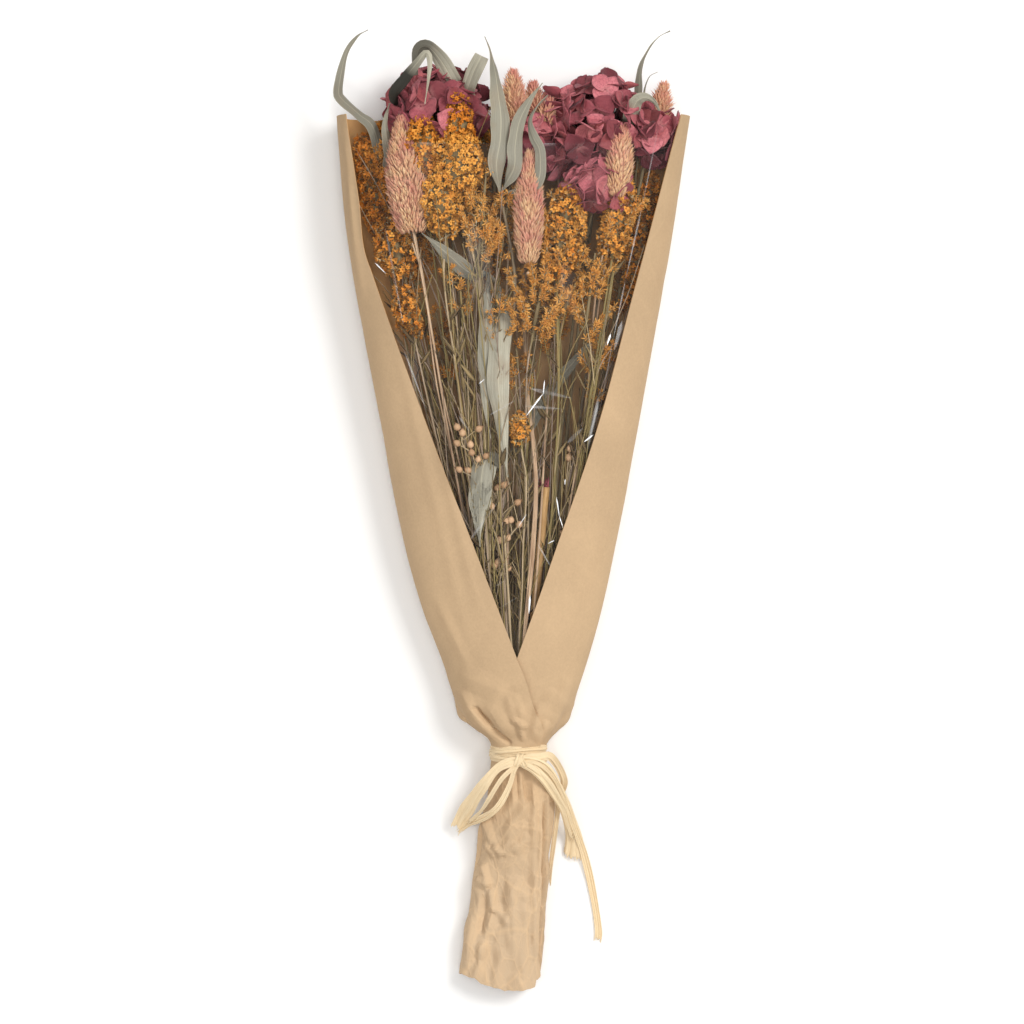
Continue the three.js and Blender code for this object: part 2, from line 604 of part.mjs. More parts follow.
function spread({ stems, balls, s }, firm) {
  for (const a of stems) {
    a.x = mix(a.p.stem[a.k].x, a.p.stem[a.k + 1].x, a.t);
    a.z = mix(a.p.stem[a.k].z, a.p.stem[a.k + 1].z, a.t);
  }
  const part = (a, x, z, want, rate) => {
    const far = Math.hypot(a.x - x, a.z - z) || 1e-3;
    if (far >= want) return false;
    const share = ((want - far) / far) * rate;
    shove(a.p, a.k, a.t, (a.x - x) * share, (a.z - z) * share);
    return true;
  };
  stems.forEach((a, i) => {
    for (const b of stems.slice(i + 1)) {
      const want = a.p.radius + b.p.radius + 2 * STEM_GAP;
      if (part(a, b.x, b.z, want, firm)) part(b, a.x, a.z, want, firm);
    }
    for (const b of balls) {
      if (b.p !== a.p) part(a, b.x, b.z, b.r + a.p.radius + GAP, b.hard ? FIRM : FIRM + FIRM_LAST - firm);
    }
    const middle = mix(s.base, s.top, 0.5);
    const [rx, rz] = [s.half - INNER - a.p.radius, (s.top - s.base) / 2 - INNER - a.p.radius];
    const out = Math.hypot((a.x - s.cx) / rx, (a.z - middle) / rz);
    if (out > 1) shove(a.p, a.k, a.t, (s.cx - a.x) * (1 - 1 / out), (middle - a.z) * (1 - 1 / out));
  });
}

// Gives every plant its stem's points, from the foot up, so that no two stems meet, none passes through
// another plant's head, and all go through the tied neck.
function routeStems() {
  for (const p of plants) p.stem = firstCourse(p);
  const all = slices();
  for (let pass = 0; pass < PASSES; pass++) {
    for (const p of plants) p.push = p.stem.map(() => v3());
    const firm = pass > PASSES * SETTLED ? FIRM_LAST : FIRM;
    all.forEach((slice) => spread(slice, firm));
    for (const p of plants) {
      p.stem.slice(0, -1).forEach((q, k) => {
        q.add(p.push[k].clampLength(0, STRIDE));
        if (k === 0 || pass > PASSES * SETTLED) return;
        const [before, after] = [p.stem[k - 1], p.stem[k + 1]];
        const straight = before.clone().lerp(after, (q.y - before.y) / (after.y - before.y));
        q.lerp(v3(straight.x, q.y, straight.z), STRAIGHTEN);
      });
    }
  }
  plants.forEach((p, i) => p.stem[0].lerp(p.stem[1], FOOT_RAGGED * ((i * 0.37) % 1)));
}

// A rod of a few sides through points that all have their rings square to y.
function rod(points, radiusAt, sides) {
  const ring = (q, k) =>
    Array.from({ length: sides }, (_, i) => {
      const a = (2 * Math.PI * (i + 0.5)) / sides;
      return v3(q.x + radiusAt(k) * Math.cos(a), q.y, q.z + radiusAt(k) * Math.sin(a));
    });
  return solid(loft(points.map(ring)));
}

// The stem of a plant, run on a little way into its head. A `grow`n one clears the plain one all round.
function stemOf(p, grow) {
  const points = p.stem.map((q) => q.clone());
  if (p.kind !== "stalk") {
    const on = p.base.clone().sub(p.stem.at(-2)).setLength(RUN_ON * p.radius);
    points.push(p.base.clone().add(on));
  }
  points[0].y -= grow;
  const more = grow / Math.cos(Math.PI / p.sides);
  const thin = (k) => (k === p.stem.length ? STEM_END : 1);
  return rod(points, (k) => p.radius * thin(k) + more, p.sides);
}

// ---------------------------------------------------------------- heads
// A head of points that stand out and up round an axis: seed scales on a spike, florets on a plume.
// A grown head is a plain lobe that clears every point.
function pointedHead({ base, tip, radiusAt, levels, points, valley, reach, grow, flat }) {
  const axis = tip.clone().sub(base);
  const length = axis.length();
  axis.normalize();
  const side = v3().crossVectors(axis, v3(0, 0, 1)).normalize();
  const up = v3().crossVectors(side, axis);
  const rings = Array.from({ length: levels + 1 }, (_, k) => {
    const f = k / levels;
    return Array.from({ length: 2 * points }, (_, j) => {
      const theta = (Math.PI * (j + 0.5)) / points;
      const out = (j + k) % 2 === 0;
      const ragged = 1 - RAGGED * Math.sin(RAGGED_STEPS[0] * k + RAGGED_STEPS[1] * j) ** 2;
      const r = radiusAt(f, theta) * (out ? ragged : valley) + grow;
      const further = out && k > 0 && k < levels ? (reach * length) / levels : 0;
      const ends = k === 0 ? -grow : k === levels ? grow : 0;
      return base.clone()
        .addScaledVector(axis, f * length + further + ends)
        .addScaledVector(side, r * Math.cos(theta))
        .addScaledVector(up, (r * flat + (1 - flat) * grow) * Math.sin(theta));
    });
  });
  const head = solid(loft(rings, { split: (j, k) => (j + k) % 2 === 1 }));
  return grow ? head.hull().simplify(grow / 2) : head;
}

function spikeHead(p, grow) {
  const most = p.width / 2;
  return pointedHead({
    base: p.base, tip: p.tip, grow, points: p.width > 12 ? 6 : 5, ...SPIKE_HEAD,
    levels: Math.max(5, Math.round(p.base.distanceTo(p.tip) / SPIKE_HEAD.level)),
    radiusAt: (f) => most * Math.max(0.16, Math.sin(Math.PI * (0.1 + 0.84 * f) ** 0.8) ** 0.8),
  });
}

function plumeHead(p, grow) {
  const most = p.width / 2;
  const lobes = 3 + Math.round(p.base.distanceTo(p.tip) / 22);
  return pointedHead({
    base: p.base, tip: p.tip, grow, points: p.width > 18 ? 5 : 4, ...PLUME_HEAD,
    levels: clamp(Math.round(p.base.distanceTo(p.tip) / PLUME_HEAD.level), 4, 6),
    radiusAt: (f, theta) => {
      const envelope = Math.max(0.2, Math.sin(Math.PI * (0.1 + 0.8 * f)) ** 0.6);
      const lobe = Math.sin(2 * theta + lobes * 2 * f + p.phase);
      return PLUME_SWELL * most * envelope * (1 - PLUME_LOBES + PLUME_LOBES * lobe);
    },
  });
}

// Four sepals in a cross that faces `out`, on a cone that narrows down to `root`.
function floret(centre, root, size, turn, grow) {
  const out = centre.clone().sub(root).normalize();
  const first = v3().crossVectors(out, Math.abs(out.y) > 0.9 ? v3(1, 0, 0) : v3(0, 1, 0)).normalize();
  const second = v3().crossVectors(out, first);
  const rim = Array.from({ length: 8 }, (_, i) => {
    const a = turn + (i * Math.PI) / 4;
    const r = size * (i % 2 ? NOTCH : 1) + SLOPE.sepal * grow;
    return centre.clone().addScaledVector(first, r * Math.cos(a)).addScaledVector(second, r * Math.sin(a));
  });
  const peak = centre.clone().addScaledVector(out, PEAK + grow);
  const foot = root.clone().addScaledVector(out, -grow);
  const points = [...rim, peak, foot];
  const faces = rim.flatMap((_, i) => {
    const j = (i + 1) % rim.length;
    return [i, j, rim.length, j, i, rim.length + 1];
  });
  return solid(
    new THREE.BufferGeometry()
      .setAttribute("position", positions(points))
      .setIndex(faces),
  );
}

// A ball of florets round a smaller core, a little flat where the sleeve presses it.
function mophead(p, grow) {
  const core = new THREE.IcosahedronGeometry(CORE * p.head + grow).scale(1, 1, FLATTEST);
  const parts = [solid(core.translate(...p.centre)), rod([p.base, p.centre], () => p.radius + grow, 4)];
  for (let i = 0; i < p.florets; i++) {
    const rise = 1 - (2 * (i + 0.5)) / (p.florets * 1.15);
    const level = Math.sqrt(1 - rise * rise);
    const out = v3(level * Math.cos(i * GOLDEN), rise, level * Math.sin(i * GOLDEN) * FLATTEST);
    const far = p.head * (0.92 + 0.06 * Math.sin(i * 2.4));
    const [c, root] = [far, ROOT * p.head].map((r) => p.centre.clone().addScaledVector(out, r));
    parts.push(floret(c, root, SEPAL, i * FLORET_TURN, grow));
  }
  return union(parts);
}

// A long thin leaf with an arched blade and gently waved edges.
function leaf(base, l, grow) {
  const path = leafPath(base, l);
  const steps = Math.max(5, Math.round(path.getLength() / 13));
  const thick = LEAF + SLOPE.leaf * grow;
  const rings = Array.from({ length: steps + 1 }, (_, k) => {
    const f = k / steps;
    const { p, side, up } = frameOn(path, f, mix(l.roll[0], l.roll[1], f));
    if (k === steps) p.addScaledVector(path.getTangentAt(1), grow);
    const share = Math.max(0.14, Math.sin(Math.PI * (0.06 + 0.92 * f) ** 0.9) ** 0.7);
    const half = (l.width / 2) * share + SLOPE.edge * grow;
    const wave = LEAF_WAVE * l.width * Math.sin(f * 9 + l.width);
    const at = (s, height) => p.clone().addScaledVector(side, s * half).addScaledVector(up, height);
    const across = [[-1, wave], [0, LEAF_ARCH * l.width], [1, -wave]];
    const face = (below) => across.map(([s, h]) => at(s, h + thick / 2 - below));
    return [...face(0), ...face(thick).reverse()];
  });
  return solid(loft(rings));
}

function twig(from, to, radius) {
  const axis = to.clone().sub(from).normalize();
  const side = v3().crossVectors(axis, Math.abs(axis.z) > 0.9 ? v3(1, 0, 0) : v3(0, 0, 1)).normalize();
  const up = v3().crossVectors(side, axis);
  const ring = (at) =>
    [0, 1, 2].map((q) => {
      const a = (q * 2 * Math.PI) / 3;
      const around = side.clone().multiplyScalar(Math.cos(a)).addScaledVector(up, Math.sin(a));
      return at.clone().addScaledVector(around, radius);
    });
  return solid(loft([ring(from), ring(to)]));
}

const bolls = (p, grow) =>
  union(
    p.twigs.flatMap(({ from, to }) => [
      twig(from, to, TWIG + SLOPE.twig * grow),
      solid(new THREE.IcosahedronGeometry(BOLL_RADIUS + SLOPE.boll * grow, 0).translate(...to)),
    ]),
  );

function headOf(p, grow = 0) {
  if (p.kind === "spike") return spikeHead(p, grow);
  if (p.kind === "plume") return plumeHead(p, grow);
  if (p.kind === "mophead") return mophead(p, grow);
  if (p.kind === "leafy") return union(p.leaves.map((l) => leaf(p.base, l, grow)));
  if (p.kind === "bolls") return bolls(p, grow);
  return null;
}

// Cuts every head clear of the window, of the other plants' stems and of the heads before it in the list,
// and a stem clear of the stems before it.
function growPlants(film) {
  routeStems();
  const around = [[0, 0, 0], [0, 0, -GAP], [0, 0, GAP], [0, GAP, 0], [0, -GAP, 0]];
  const taken = around.map((by) => film.translate(by));
  const stems = plants.map((p) => stemOf(p, GAP));
  const cores = plants.map((p) => stemOf(p, GAP / 4));
  plants.forEach((p, i) => {
    let made = stemOf(p, 0);
    if (p.kind !== "stalk") {
      const others = stems.filter((_, j) => j !== i);
      made = union([made, headOf(p).subtract(union([...others, ...taken]))]);
      taken.push(headOf(p, p.kind === "leafy" ? LEAF_CLEAR : GAP));
    }
    if (i) made = made.subtract(union(cores.slice(0, i)));
    p.made = largest(made.simplify(TIDY));
  });
}

// ---------------------------------------------------------------- materials and the assembled group
const finish = (color, roughness, extra = {}) =>
  new THREE.MeshStandardMaterial({ color, roughness, metalness: 0, ...extra });
const MATERIALS = {
  kraft: finish(0xc9a679, 0.85),
  film: finish(0xe8eceb, 0.08, { transparent: true, opacity: 0.25 }),
  raffia: finish(0xe8c48c, 0.6),
  stalk: finish(0xb98e5c, 0.7),
  spike: finish(0xd39a80, 0.9),
  leafy: finish(0x8f9080, 0.7),
  mophead: finish(0x8e4455, 0.8),
  bolls: finish(0xbf9468, 0.8),
  plume: finish(0xc07a26, 0.9),
};

const bouquet = new THREE.Group();
function add(name, made, material) {
  const mesh = new THREE.Mesh(geometryOf(made), MATERIALS[material]);
  mesh.name = name;
  bouquet.add(mesh);
}

const film = filmWindow();
growPlants(film);
add("paper_sleeve", paperWrap(), "kraft");
add("film_window", film, "film");
add("raffia_band", raffiaBand(), "raffia");
add("raffia_bow", raffiaBow(), "raffia");
for (const p of plants) add(p.name, p.made, p.kind);

// The origin goes under the middle of the whole bouquet.
const box = new THREE.Box3().setFromObject(bouquet);
const middle = box.getCenter(v3());
for (const mesh of bouquet.children) mesh.geometry.translate(-middle.x, -middle.y, -box.min.z);

export default bouquet;
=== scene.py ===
"""A dried flower bouquet laid on its back, in a kraft paper sleeve with a clear window, tied with raffia.

Everything is worked out in millimetres and made in metres. +Y runs towards the blooms and +Z up from the
table. Each flower is one piece: its stem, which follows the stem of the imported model, and its head.
"""

import math

import bpy
import numpy as np
from bpy.props import FloatProperty, FloatVectorProperty, IntProperty, PointerProperty
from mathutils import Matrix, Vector
from mathutils.geometry import delaunay_2d_cdt


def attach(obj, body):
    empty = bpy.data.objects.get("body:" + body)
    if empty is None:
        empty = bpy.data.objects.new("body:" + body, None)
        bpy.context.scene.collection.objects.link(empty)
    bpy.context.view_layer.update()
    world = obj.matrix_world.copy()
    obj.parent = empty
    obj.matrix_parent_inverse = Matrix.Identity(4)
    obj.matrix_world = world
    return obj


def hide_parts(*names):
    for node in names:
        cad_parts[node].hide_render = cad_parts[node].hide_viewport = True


bl_info = {
    "name": "Dried flower bouquet",
    "version": (1, 0, 0),
    "blender": (4, 5, 0),
    "location": "View3D > Sidebar > Bouquet",
    "description": "Builds a dried flower bouquet in a kraft paper sleeve",
    "category": "Add Mesh",
}

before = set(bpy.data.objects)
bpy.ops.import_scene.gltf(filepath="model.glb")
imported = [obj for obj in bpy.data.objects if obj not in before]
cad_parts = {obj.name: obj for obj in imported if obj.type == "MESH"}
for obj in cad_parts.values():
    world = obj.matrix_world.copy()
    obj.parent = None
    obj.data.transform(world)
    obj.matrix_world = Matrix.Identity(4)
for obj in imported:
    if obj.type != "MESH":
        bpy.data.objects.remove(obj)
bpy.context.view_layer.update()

MM = 0.001
GOLDEN = math.pi * (3 - math.sqrt(5))  # the angle from one floret to the next on a spiral
UP = np.array([0.0, 0.0, 1.0])

# ---------------------------------------------------------------- sizes of the sleeve
TOP, FOOT, VEE, NECK = 206, -250, -76, -126  # y of the mouth, the foot, the window's point and the tie
BELLY = 0.42  # share of the height at which the sleeve is widest
FRONT_ROUND, BACK_ROUND = 0.9, 0.8  # powers of the cosine that round the front and the back
BACK_FULL = 1.25  # how early the back reaches the table, on which it lies flat
PLEATS, PLEAT_TURN = 7, 0.6
# The folds that the tie gathers: height as a share of the sleeve's width, y, spread.
GATHERS = [(0.07, NECK + 17, 9), (0.07, NECK - 20, 11), (0.02, FOOT, 30)]
FLAP_LIFT = 1.5  # how far the left flap lies over the right one
LIFT_ANGLES = (1.15 * math.pi, 1.5 * math.pi)  # where the paper begins and ends its rise to that
OVER_ANGLES = (0.35 * math.pi, 0.65 * math.pi)  # where the tie comes down again off the left flap
CEILING_ROUND, CEILING_EDGE = 0.45, 0.985  # power that rounds the front over the flowers, its widest share

FILM_ENDS = (-88, 189)  # y of the film's ends
FILM_CORNER, CORNER_FROM = 12, 120  # how far its upper corners reach past its end, and from which y
FILM_INSET = 1.7  # how far under the paper's face the film lies
FILM_TUCK = 0.16  # radians that the film runs on under each flap
FILM_FOLD = 0.89  # share of the film's width at which it is folded lengthwise, where a painted glint runs
FILM_CREASES = 60

PAPER_ROWS, PAPER_COLUMNS = 250, 164
ROW_PLACES = [(0, TOP), (0.28, -60), (0.64, -150), (1, FOOT)]  # share of the rows and y: closer at the foot
CUT_REACH = 24  # how far up from the foot the ragged cut still moves the rows
SHARP_PAPER = NECK - 14  # y below which the paper's facets are sharp
# Stretches of crumpled paper, the foot, the neck and the rest: facets as height, width, length.
FACETS = [[(1.7, 9, 21), (0.6, 4.4, 8)], [(1.0, 9, 13), (0.4, 5, 7)], [(0.7, 26, 62)]]
SHEET_REACH = ((-110, 300), (-290, 250))  # across and along the unrolled sheet, with a margin
PAPER_SEED, FILM_SEED, TIE_SEED, STALK_SEED, FLAX_SEED = 11, 23, 31, 5, 120
# What the seeds of the other flowers add to the user's.
SEED_STEPS = {"canary_grass": 10, "hydrangea": 30, "goldenrod": 50, "eucalyptus": 90}

# The outline as it lies: y, left edge, right edge, underside, top.
OUTLINE = [
    (TOP, -89.4, 92.4, 0, 62), (146, -84, 83.4, 0, 60), (72, -71.5, 70.4, 0, 53), (0, -58, 57.2, 0, 45),
    (-50, -45.4, 47, 0, 38), (-80, -34, 38.6, 0, 34.5), (-104, -26.6, 30, 0.8, 32),
    (-111, -22, 27, 1.2, 30.4), (-118, -10.8, 20, 2.2, 27.4), (NECK, -9.2, 16.3, 2.2, 26.4),
    (-134, -9.6, 16.8, 2.2, 26.6), (-156, -12.8, 21, 0.8, 25), (-178, -15.6, 20, 0.2, 22.4),
    (-200, -19.6, 18.4, 0, 20), (FOOT, -25.4, 14.6, 0, 15),
]
# The flaps' inner edges: y, x.
LEFT_FLAP = [(VEE, 2.6), (129, -73), (162, -77.5), (TOP, -84.4)]
RIGHT_FLAP = [(VEE, 2.6), (-34, 17.6), (38, 42.4), (120, 64.6), (TOP, 87.6)]
# Below the window the left flap's edge runs down over the right flap: y, angle from the middle.
OVERLAP = [(VEE, 0), (-90, 0.17), (-100, 0.3), (-109, 0.5), (NECK, 0.8), (-200, 1.0), (FOOT, 1.05)]
# The cut edge at the foot: x, y.
FOOT_EDGE = [
    (-26, -242.6), (-19, -244), (-16.4, -247.6), (-8, -249), (-3.4, -251.4), (11.4, -249.6), (12.4, -245.4),
    (15, -244.6),
]

# Creases on the front that show: x, y at both ends, height (below 0 is a groove), reach to each side.
FOLDS = [
    (-20, -101, -10, -112, -3.0, 2.0), (-10, -112, 0, -121.5, -3.2, 1.8), (-22, -104, -3, -124, 1.6, 4.5),
    (-13, -100, -1, -118, 1.2, 5), (3, -109, 5.5, -119, 1.7, 2.2), (-1, -107, 8, -112, 1.5, 2.4),
    (1, -94, 4.4, -106, 1.2, 3), (-28, -84, -3, -94, 1.1, 7), (-3, -94, 3, -110, 1.2, 3.4),
    (22, -92, 12, -112, 1.3, 5), (29, -86, 22, -104, 1.0, 4), (14, -98, 10, -118, 1.1, 3),
    (-26, -92, -20, -106, 1.2, 4), (18, -108, 12, -120, 1.2, 3), (11, -137, 11.2, -178, 1.8, 2.6),
    (11.2, -176, 12.5, -236, 1.5, 3), (16.4, -141, 16, -243, -2.0, 1.6), (14.6, -150, 14.8, -205, 1.2, 1.6),
    (2, -134, 3, -151, -1.7, 2.2), (6, -134, 8, -152, -1.4, 2), (-3, -136, -9, -160, 1.5, 3),
    (8.6, -150, -4.7, -170, 1.8, 3.4), (7, -161, -7, -178, 1.5, 3), (-15, -158, -10.5, -174.5, 1.9, 3.4),
    (-10.5, -174.5, -4.7, -179.5, 2.0, 3), (-15.4, -172, -9, -181, 1.6, 2.4), (-4.7, -179.5, 3, -172, 1.5, 3),
    (-18.8, -192, -11.7, -196, 2.0, 3.4), (-11.7, -196, -10.4, -210, 1.9, 3.4),
    (-16.4, -184, -12, -196, 1.6, 2.6),
    (-10.4, -210, -17.6, -234, 1.8, 4.4), (-14.6, -200, -16.6, -222, -1.4, 2.6), (1, -178, 9, -168, 1.4, 3.6),
    (-4, -205, 4, -190, 1.2, 4.4), (2, -240, 0, -206, 1.3, 4.6), (-9, -206, -2, -216, 1.2, 3),
    (-14, -226, -20, -246, 1.6, 3.6), (-20, -212, -23, -240, 1.3, 3), (7, -196, 6, -246, 1.1, 4),
    (-5, -228, -9, -249, 1.1, 4), (-58, 120, -16, -56, 0.5, 3), (-62, 96, -22, -70, 0.4, 4),
    (66, 30, 34, -60, 0.4, 5), (78, 120, 60, 20, 0.4, 5), (-87, 206, -77, 110, 0.9, 2.4),
    (-84, 170, -80, 120, 0.6, 2), (87, 180, 74, 100, 0.5, 3), (-40, -44, -22, -82, 0.7, 4),
]

# Painted glints of the film, as sharp white streaks: x, y at both ends, width.
GLINTS = [
    (16.8, 68, 16, 60, 1.0), (16, 61, 7, 49, 1.3), (22.9, 8, 24.6, -3, 1.0), (24.4, -2, 26.4, -8, 0.8),
    (9.4, -43, 8.7, -53, 1.7), (22, -14.6, 18.4, -16.4, 0.7), (42, 40, 37, 36, 1.4),
    (-71, 129, -65, 123, 1.0),
    (7.6, -1, 3, -8, 0.5), (-17, 66, -14, 68.5, 0.8), (51, 92, 49, 86, 1.6), (27.5, 17, 27.3, 14, 0.8),
]
# Soft painted reflections on the film, the same way.
HAZES = [
    (9, 63.6, 31, 58.6, 3.4), (6, 54.6, 27, 53, 2.4), (-23.6, -17, -6.4, 6.4, 2.0),
    (-12.4, 49.4, 3, 58.2, 1.2), (28.6, 35.6, 36.6, 43.4, 3.6), (-9, -38.6, -3.2, -35.4, 0.6),
    (-6.6, -49.8, 3.2, -44, 0.6), (-27.4, 49.4, -22, 41.6, 1.8), (76, 201, 67.2, 158, 1.2),
    (67.2, 158, 58.6, 120, 1.4), (58.6, 120, 52, 88, 1.2), (52, 88, 46, 56, 1.0), (57, 99, 52.6, 83, 3.4),
    (-66, 150, -56, 96, 1.6), (-56, 84, -44, 52, 1.4), (13, -16, 21, -30, 1.4),
]
SLIVER = 0.3  # greatest width of the flake that both are made of, which is one unit long

# The raffia bow: width at the knot and at the end, roll at both ends, points from the knot out.
KNOT = (4, -129.4, 32.2)
BOW = [
    (4.6, 7.6, (0.1, 0.1), [
        KNOT, (-1.6, -130.2, 32.4), (-8, -133.6, 30.8), (-14.4, -141.6, 27.6), (-21.4, -152, 19),
        (-26.6, -161, 11), (-29, -166, 7.6)]),
    (3.0, 3.6, (0.5, 0.2), [
        KNOT, (1.2, -134, 32.6), (-1.2, -142, 32), (-5.4, -150.6, 31), (-10.6, -156.6, 28),
        (-17.6, -161, 19), (-22.6, -163.4, 12), (-27.6, -167, 7)]),
    (2.4, 2.0, (0.2, 0.6), [
        KNOT, (-1.4, -134.6, 32), (-6, -139.6, 31), (-12, -149.4, 27.6), (-16.4, -156.4, 21.6),
        (-23, -163, 12.4)]),
    (4.4, 2.2, (0, 0.5), [
        KNOT, (9.6, -127.6, 32.4), (14.4, -127.6, 30.6), (19.6, -127.2, 27), (24.4, -133.4, 20.6),
        (27.2, -140.4, 16), (26.6, -145, 13), (24.4, -150, 11), (23.9, -158, 9.4), (22.8, -167.4, 7.4),
        (21.6, -177, 5.4), (20.4, -186.6, 3.6), (19.6, -195, 2.6)]),
    (4.2, 5.4, (0, 0.2), [
        KNOT, (11, -133.4, 32), (18, -140.6, 29.4), (24, -150.4, 20.6), (28, -158, 14), (30.4, -167.4, 7.4),
        (30.8, -174.6, 3.4), (30, -182, 1.7)]),
    (4.4, 5.2, (0.2, -0.1), [
        KNOT, (10, -129.6, 32.6), (17, -132.6, 30.6), (23, -141, 24.6), (27.4, -151, 17.6),
        (31.4, -162.6, 9.6), (34.2, -172.2, 4.4), (35.8, -182, 1.9)]),
    (2.6, 2.2, (0, 0.3), [
        KNOT, (9, -131.4, 32.8), (15.6, -136.6, 31), (22.6, -146.6, 23), (27, -156, 15.6), (29.4, -164, 10),
        (31.6, -171, 6)]),
    (2.0, 4.0, (0, 0), [
        KNOT, (13.4, -130.6, 32.8), (21.8, -138.6, 26.6), (27.8, -150.4, 18), (32.6, -165, 9.4),
        (37.2, -178, 3.6), (40.9, -192.4, 1.3), (43.9, -208, 0.9), (45.6, -221, 0.9), (45.2, -226, 0.9)]),
]
# The loops of the knot: place across, lean, width.
KNOT_LOOPS = [(-1.2, 1.2, 2.8), (1.4, -1.6, 2.6), (0.2, 2.2, 2.2)]
# The turns round the neck: place along the neck, tilt, width, distance off the paper.
TURNS = [(2.7, 0.5, 2.6, 0.4), (0.9, -0.6, 2.8, 0.5), (-1.2, 0.7, 2.6, 0.4), (-3.2, -0.5, 2.8, 0.5),
         (1.6, 1.3, 2.0, 1.0), (-2.0, -1.5, 2.0, 1.1)]
TURN_STEPS, STRAND_COLUMNS = 90, 13
NECK_HEIGHT = 14  # height of the middle of the neck

# ---------------------------------------------------------------- places of the flowers
# Depth is 0 at the back of the sleeve and 1 just under the window. A base is where the head begins.
LEVELS = [-214, -162, NECK, -98, -50, 10, 66, 118, 168]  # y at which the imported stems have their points
LEVEL_NEAR = 0.08  # how near to such a level a point of a stem lies
LAST_STRETCH = 9  # shortest stretch of stem between its last level and the base of its head
INNER = 2  # room between the flowers and the sleeve
# How far all that is pressed in stays off the sides, the film, the back and the table.
SIDE_GAP, FILM_GAP, BACK_GAP, TABLE_GAP = 1.8, 2.5, 1.2, 0.6

# Seed spikes of canary grass: base, tip, greatest width, depth.
SPIKES = {
    "left": ((-51.5, 147), (-56.5, 205), 22.5, 0.99),
    "centre": ((8.3, 131), (9.2, 186), 14.5, 0.99),
    "right": ((54, 164.5), (57.2, 199.5), 13, 0.99),
    "top_left": ((1.5, 203), (0.5, 229), 11.5, 0.62),
    "top_middle": ((12.5, 203), (11, 224), 10, 0.42),
    "top_right": ((75, 196), (79.5, 224), 11, 0.5),
    "top_inner": ((16.5, 199), (20.5, 214), 9, 0.62),
}
LOOSE_SPIKE = 12  # width below which a spike has fewer scales, which stand out more
# How high the stems of some spikes lie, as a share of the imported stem's height.
SUNK = {"centre": 0.5, "right": 0.75, "top_left": 0.6, "top_middle": 0.6, "top_right": 0.6, "top_inner": 0.3}
SINK_FROM = 60  # y above which they do
# Further stems beside some spikes: how many, their radius and how far they part.
COMPANIONS = {"left": (2, 0.55, 2.2), "centre": (2, 0.8, 1.6), "right": (1, 0.55, 2.2)}
SIDEWAYS = {"centre": 8}  # how far to the right a stem runs in the lower half of the window

# Mopheads of hydrangea: centre, radius, depth, florets, tone from 0 dark to 1 pale.
MOPHEADS = {
    "left": ((-39, 209), 22.5, 0.36, 60, 0.4),
    "right": ((44, 200.5), 25, 0.5, 68, 0.5),
    "middle": ((15, 190), 16, 0.45, 30, 0.5),
    "edge": ((72, 194), 13.5, 0.78, 20, 0.4),
    "low": ((44, 168), 13, 0.9, 20, 0.75),
}
MOPHEAD_SUNK = 0.45  # how high their stems lie, as for the spikes
# Their sepals: cup, curl, fold, wave.
SEPALS = [(0.3, 0.08, 0.0, 0.02), (0.7, -0.1, 0.06, 0.015), (-0.4, 0.14, -0.1, 0.03),
          (0.1, -0.22, 0.25, 0.025), (0.6, 0.22, 0.12, 0.03)]

# Plumes of goldenrod: base, tip, width, depth, how open they are (0 a dense dome, 1 loose with long petals),
# and tone from 0 deep orange to 1 pale.
PLUMES = {
    "left_edge": ((-69.5, 146), (-77, 194), 14, 0.5, 0.2, 0.3),
    "left_back": ((-61, 158), (-67, 200), 17, 0.42, 0.2, 0.4),
    "upper_left": ((-44.6, 174), (-47, 203), 22, 0.88, 0.0, 0.35),
    "upper_middle": ((-25, 179), (-30, 214), 19, 0.84, 0.0, 0.1),
    "dome_high": ((-28, 163), (-27, 193), 29, 0.98, 0.0, 0.85),
    "dome_low": ((-34, 144), (-37, 176), 22, 0.97, 0.0, 0.85),
    "centre_long": ((-17.7, 128), (-13, 178), 23, 0.97, 1.0, 0.6),
    "centre_right": ((-6.4, 127), (-1, 168), 19, 0.8, 1.0, 0.5),
    "left_middle": ((-55.6, 122), (-65, 150), 22, 0.68, 0.6, 0.4),
    "left_low": ((-51, 92), (-57, 115), 15, 0.8, 0.7, 0.4),
    "centre_low": ((-25.5, 103), (-28, 130), 14, 0.85, 1.0, 0.5),
    "middle_small": ((-6.2, 88), (-7.8, 112), 17, 0.9, 1.0, 0.6),
    "middle_big": ((9, 82), (17, 126), 31, 0.94, 1.0, 0.6),
    "right_high": ((23, 122), (29, 166), 25, 0.9, 0.6, 0.6),
    "right_middle": ((37, 87), (43, 134), 24, 0.9, 1.0, 0.6),
    "right_upper": ((52, 133), (58, 170), 20, 0.9, 0.6, 0.6),
    "right_edge": ((62, 110), (73, 172), 14, 0.55, 0.6, 0.3),
    "right_low": ((41, 58), (48, 90), 17, 0.86, 1.0, 0.5),
    "middle_low": ((4.2, 60), (2, 88), 17, 0.66, 1.0, 0.4),
    "lowest": ((4.7, 37), (3.4, 48), 8.5, 0.9, 0.5, 0.8),
    "back_left": ((-50, 118), (-56, 200), 28, 0.2, 1.0, 0.2),
    "back_middle": ((-8, 120), (-10, 205), 30, 0.22, 1.0, 0.2),
    "back_right": ((56, 104), (66, 186), 28, 0.2, 1.0, 0.2),
    "back_low": ((22, 84), (28, 150), 26, 0.25, 1.0, 0.2),
    "left_dark": ((-32, 70), (-40, 106), 17, 0.36, 1.0, 0.2),
}
TWIG = (0.36, 0.2)  # radius of a plume's side twig at both ends
FOLIAGE_FROM = -70  # y above which stems bear small leaves
PLUME_COMPANIONS = (3, 0.4, 3.4)  # further stems beside a plume's, as for the spikes
# Radius of each flower's main stem.
STEM_RADII = {"canary_grass": 0.66, "hydrangea": 1.0, "goldenrod": 0.62, "eucalyptus": 1.0, "flax": 0.75}

